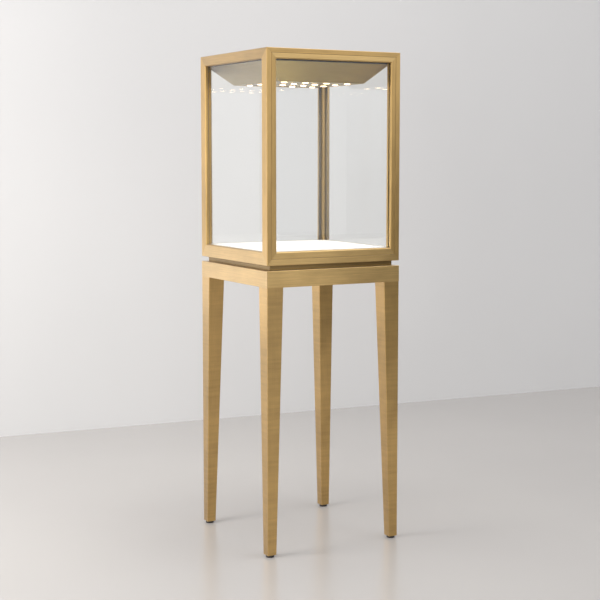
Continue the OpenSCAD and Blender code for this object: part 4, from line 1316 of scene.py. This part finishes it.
class CASE_OT_rails(bpy.types.Operator):
    """Builds the top and bottom rails, with the head rail and the sill rail"""

    bl_idname = "display_case.rails"
    bl_label = "Rails"

    def execute(self, context):
        build_rails(context.scene.case_sizes)
        return {"FINISHED"}


class CASE_OT_roof(bpy.types.Operator):
    """Builds the roof panel"""

    bl_idname = "display_case.roof"
    bl_label = "Roof panel"

    def execute(self, context):
        build_roof(context.scene.case_sizes)
        return {"FINISHED"}


class CASE_OT_glazing(bpy.types.Operator):
    """Builds the fixed panes with their gaskets and beads"""

    bl_idname = "display_case.glazing"
    bl_label = "Fixed glazing"

    def execute(self, context):
        build_glazing(context.scene.case_sizes)
        return {"FINISHED"}


class CASE_OT_deck(bpy.types.Operator):
    """Builds the white deck board"""

    bl_idname = "display_case.deck"
    bl_label = "Deck"

    def execute(self, context):
        build_deck(context.scene.case_sizes)
        return {"FINISHED"}


class CASE_OT_canopy(bpy.types.Operator):
    """Builds the canopy shell and its seal"""

    bl_idname = "display_case.canopy"
    bl_label = "Canopy"

    def execute(self, context):
        build_canopy(context.scene.case_sizes)
        return {"FINISHED"}


class CASE_OT_lights(bpy.types.Operator):
    """Builds the bezels and lenses of the lights"""

    bl_idname = "display_case.lights"
    bl_label = "Lights"

    def execute(self, context):
        build_lights(context.scene.case_sizes)
        return {"FINISHED"}


class CASE_OT_door_frame(bpy.types.Operator):
    """Builds the stiles and rails of the door"""

    bl_idname = "display_case.door_frame"
    bl_label = "Door frame"

    def execute(self, context):
        build_door_frame(context.scene.case_sizes)
        return {"FINISHED"}


class CASE_OT_door_glazing(bpy.types.Operator):
    """Builds the door's pane with its gasket and beads"""

    bl_idname = "display_case.door_glazing"
    bl_label = "Door glazing"

    def execute(self, context):
        build_door_glazing(context.scene.case_sizes)
        return {"FINISHED"}


class CASE_OT_inner_nodes(bpy.types.Operator):
    """Gives the carried-over inner parts their finishes"""

    bl_idname = "display_case.inner_nodes"
    bl_label = "Inner parts"

    def execute(self, context):
        dress_inner_nodes()
        return {"FINISHED"}


class CASE_OT_stage(bpy.types.Operator):
    """Builds the floor, the wall, the lights of the room and the camera"""

    bl_idname = "display_case.stage"
    bl_label = "Stage"

    def execute(self, context):
        build_stage(context.scene.case_stage)
        return {"FINISHED"}


OPERATORS = (
    CASE_OT_legs,
    CASE_OT_feet,
    CASE_OT_apron,
    CASE_OT_plinth,
    CASE_OT_posts,
    CASE_OT_rails,
    CASE_OT_roof,
    CASE_OT_glazing,
    CASE_OT_deck,
    CASE_OT_canopy,
    CASE_OT_lights,
    CASE_OT_door_frame,
    CASE_OT_door_glazing,
    CASE_OT_inner_nodes,
    CASE_OT_stage,
)


class CASE_PT_panel(bpy.types.Panel):
    """Lists the operators that build the case"""

    bl_idname = "CASE_PT_panel"
    bl_label = "Display case"
    bl_space_type = "VIEW_3D"
    bl_region_type = "UI"
    bl_category = "Display case"

    def draw(self, context):
        for operator in OPERATORS:
            self.layout.operator(operator.bl_idname)
        scene = context.scene
        for group in (scene.case_sizes, scene.case_finishes, scene.case_stage):
            for prop in group.bl_rna.properties:
                if prop.identifier not in ("rna_type", "name"):
                    self.layout.prop(group, prop.identifier)


CLASSES = (CaseSizes, CaseFinishes, CaseStage, *OPERATORS, CASE_PT_panel)


def register():
    for made in CLASSES:
        bpy.utils.register_class(made)
    bpy.types.Scene.case_sizes = PointerProperty(type=CaseSizes)
    bpy.types.Scene.case_finishes = PointerProperty(type=CaseFinishes)
    bpy.types.Scene.case_stage = PointerProperty(type=CaseStage)


def unregister():
    del bpy.types.Scene.case_sizes
    del bpy.types.Scene.case_finishes
    del bpy.types.Scene.case_stage
    for made in reversed(CLASSES):
        bpy.utils.unregister_class(made)


def main():
    register()
    for operator in OPERATORS:
        group, name = operator.bl_idname.split(".")
        if getattr(getattr(bpy.ops, group), name)() != {"FINISHED"}:
            raise RuntimeError(f"{operator.bl_label} wasn't finished")
    bpy.context.view_layer.update()
    boxes = {"cad": CAD_BOX, "visual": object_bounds()}
    boxes = {key: [list(corner) for corner in box] for key, box in boxes.items()}


if __name__ == "__main__":
    main()
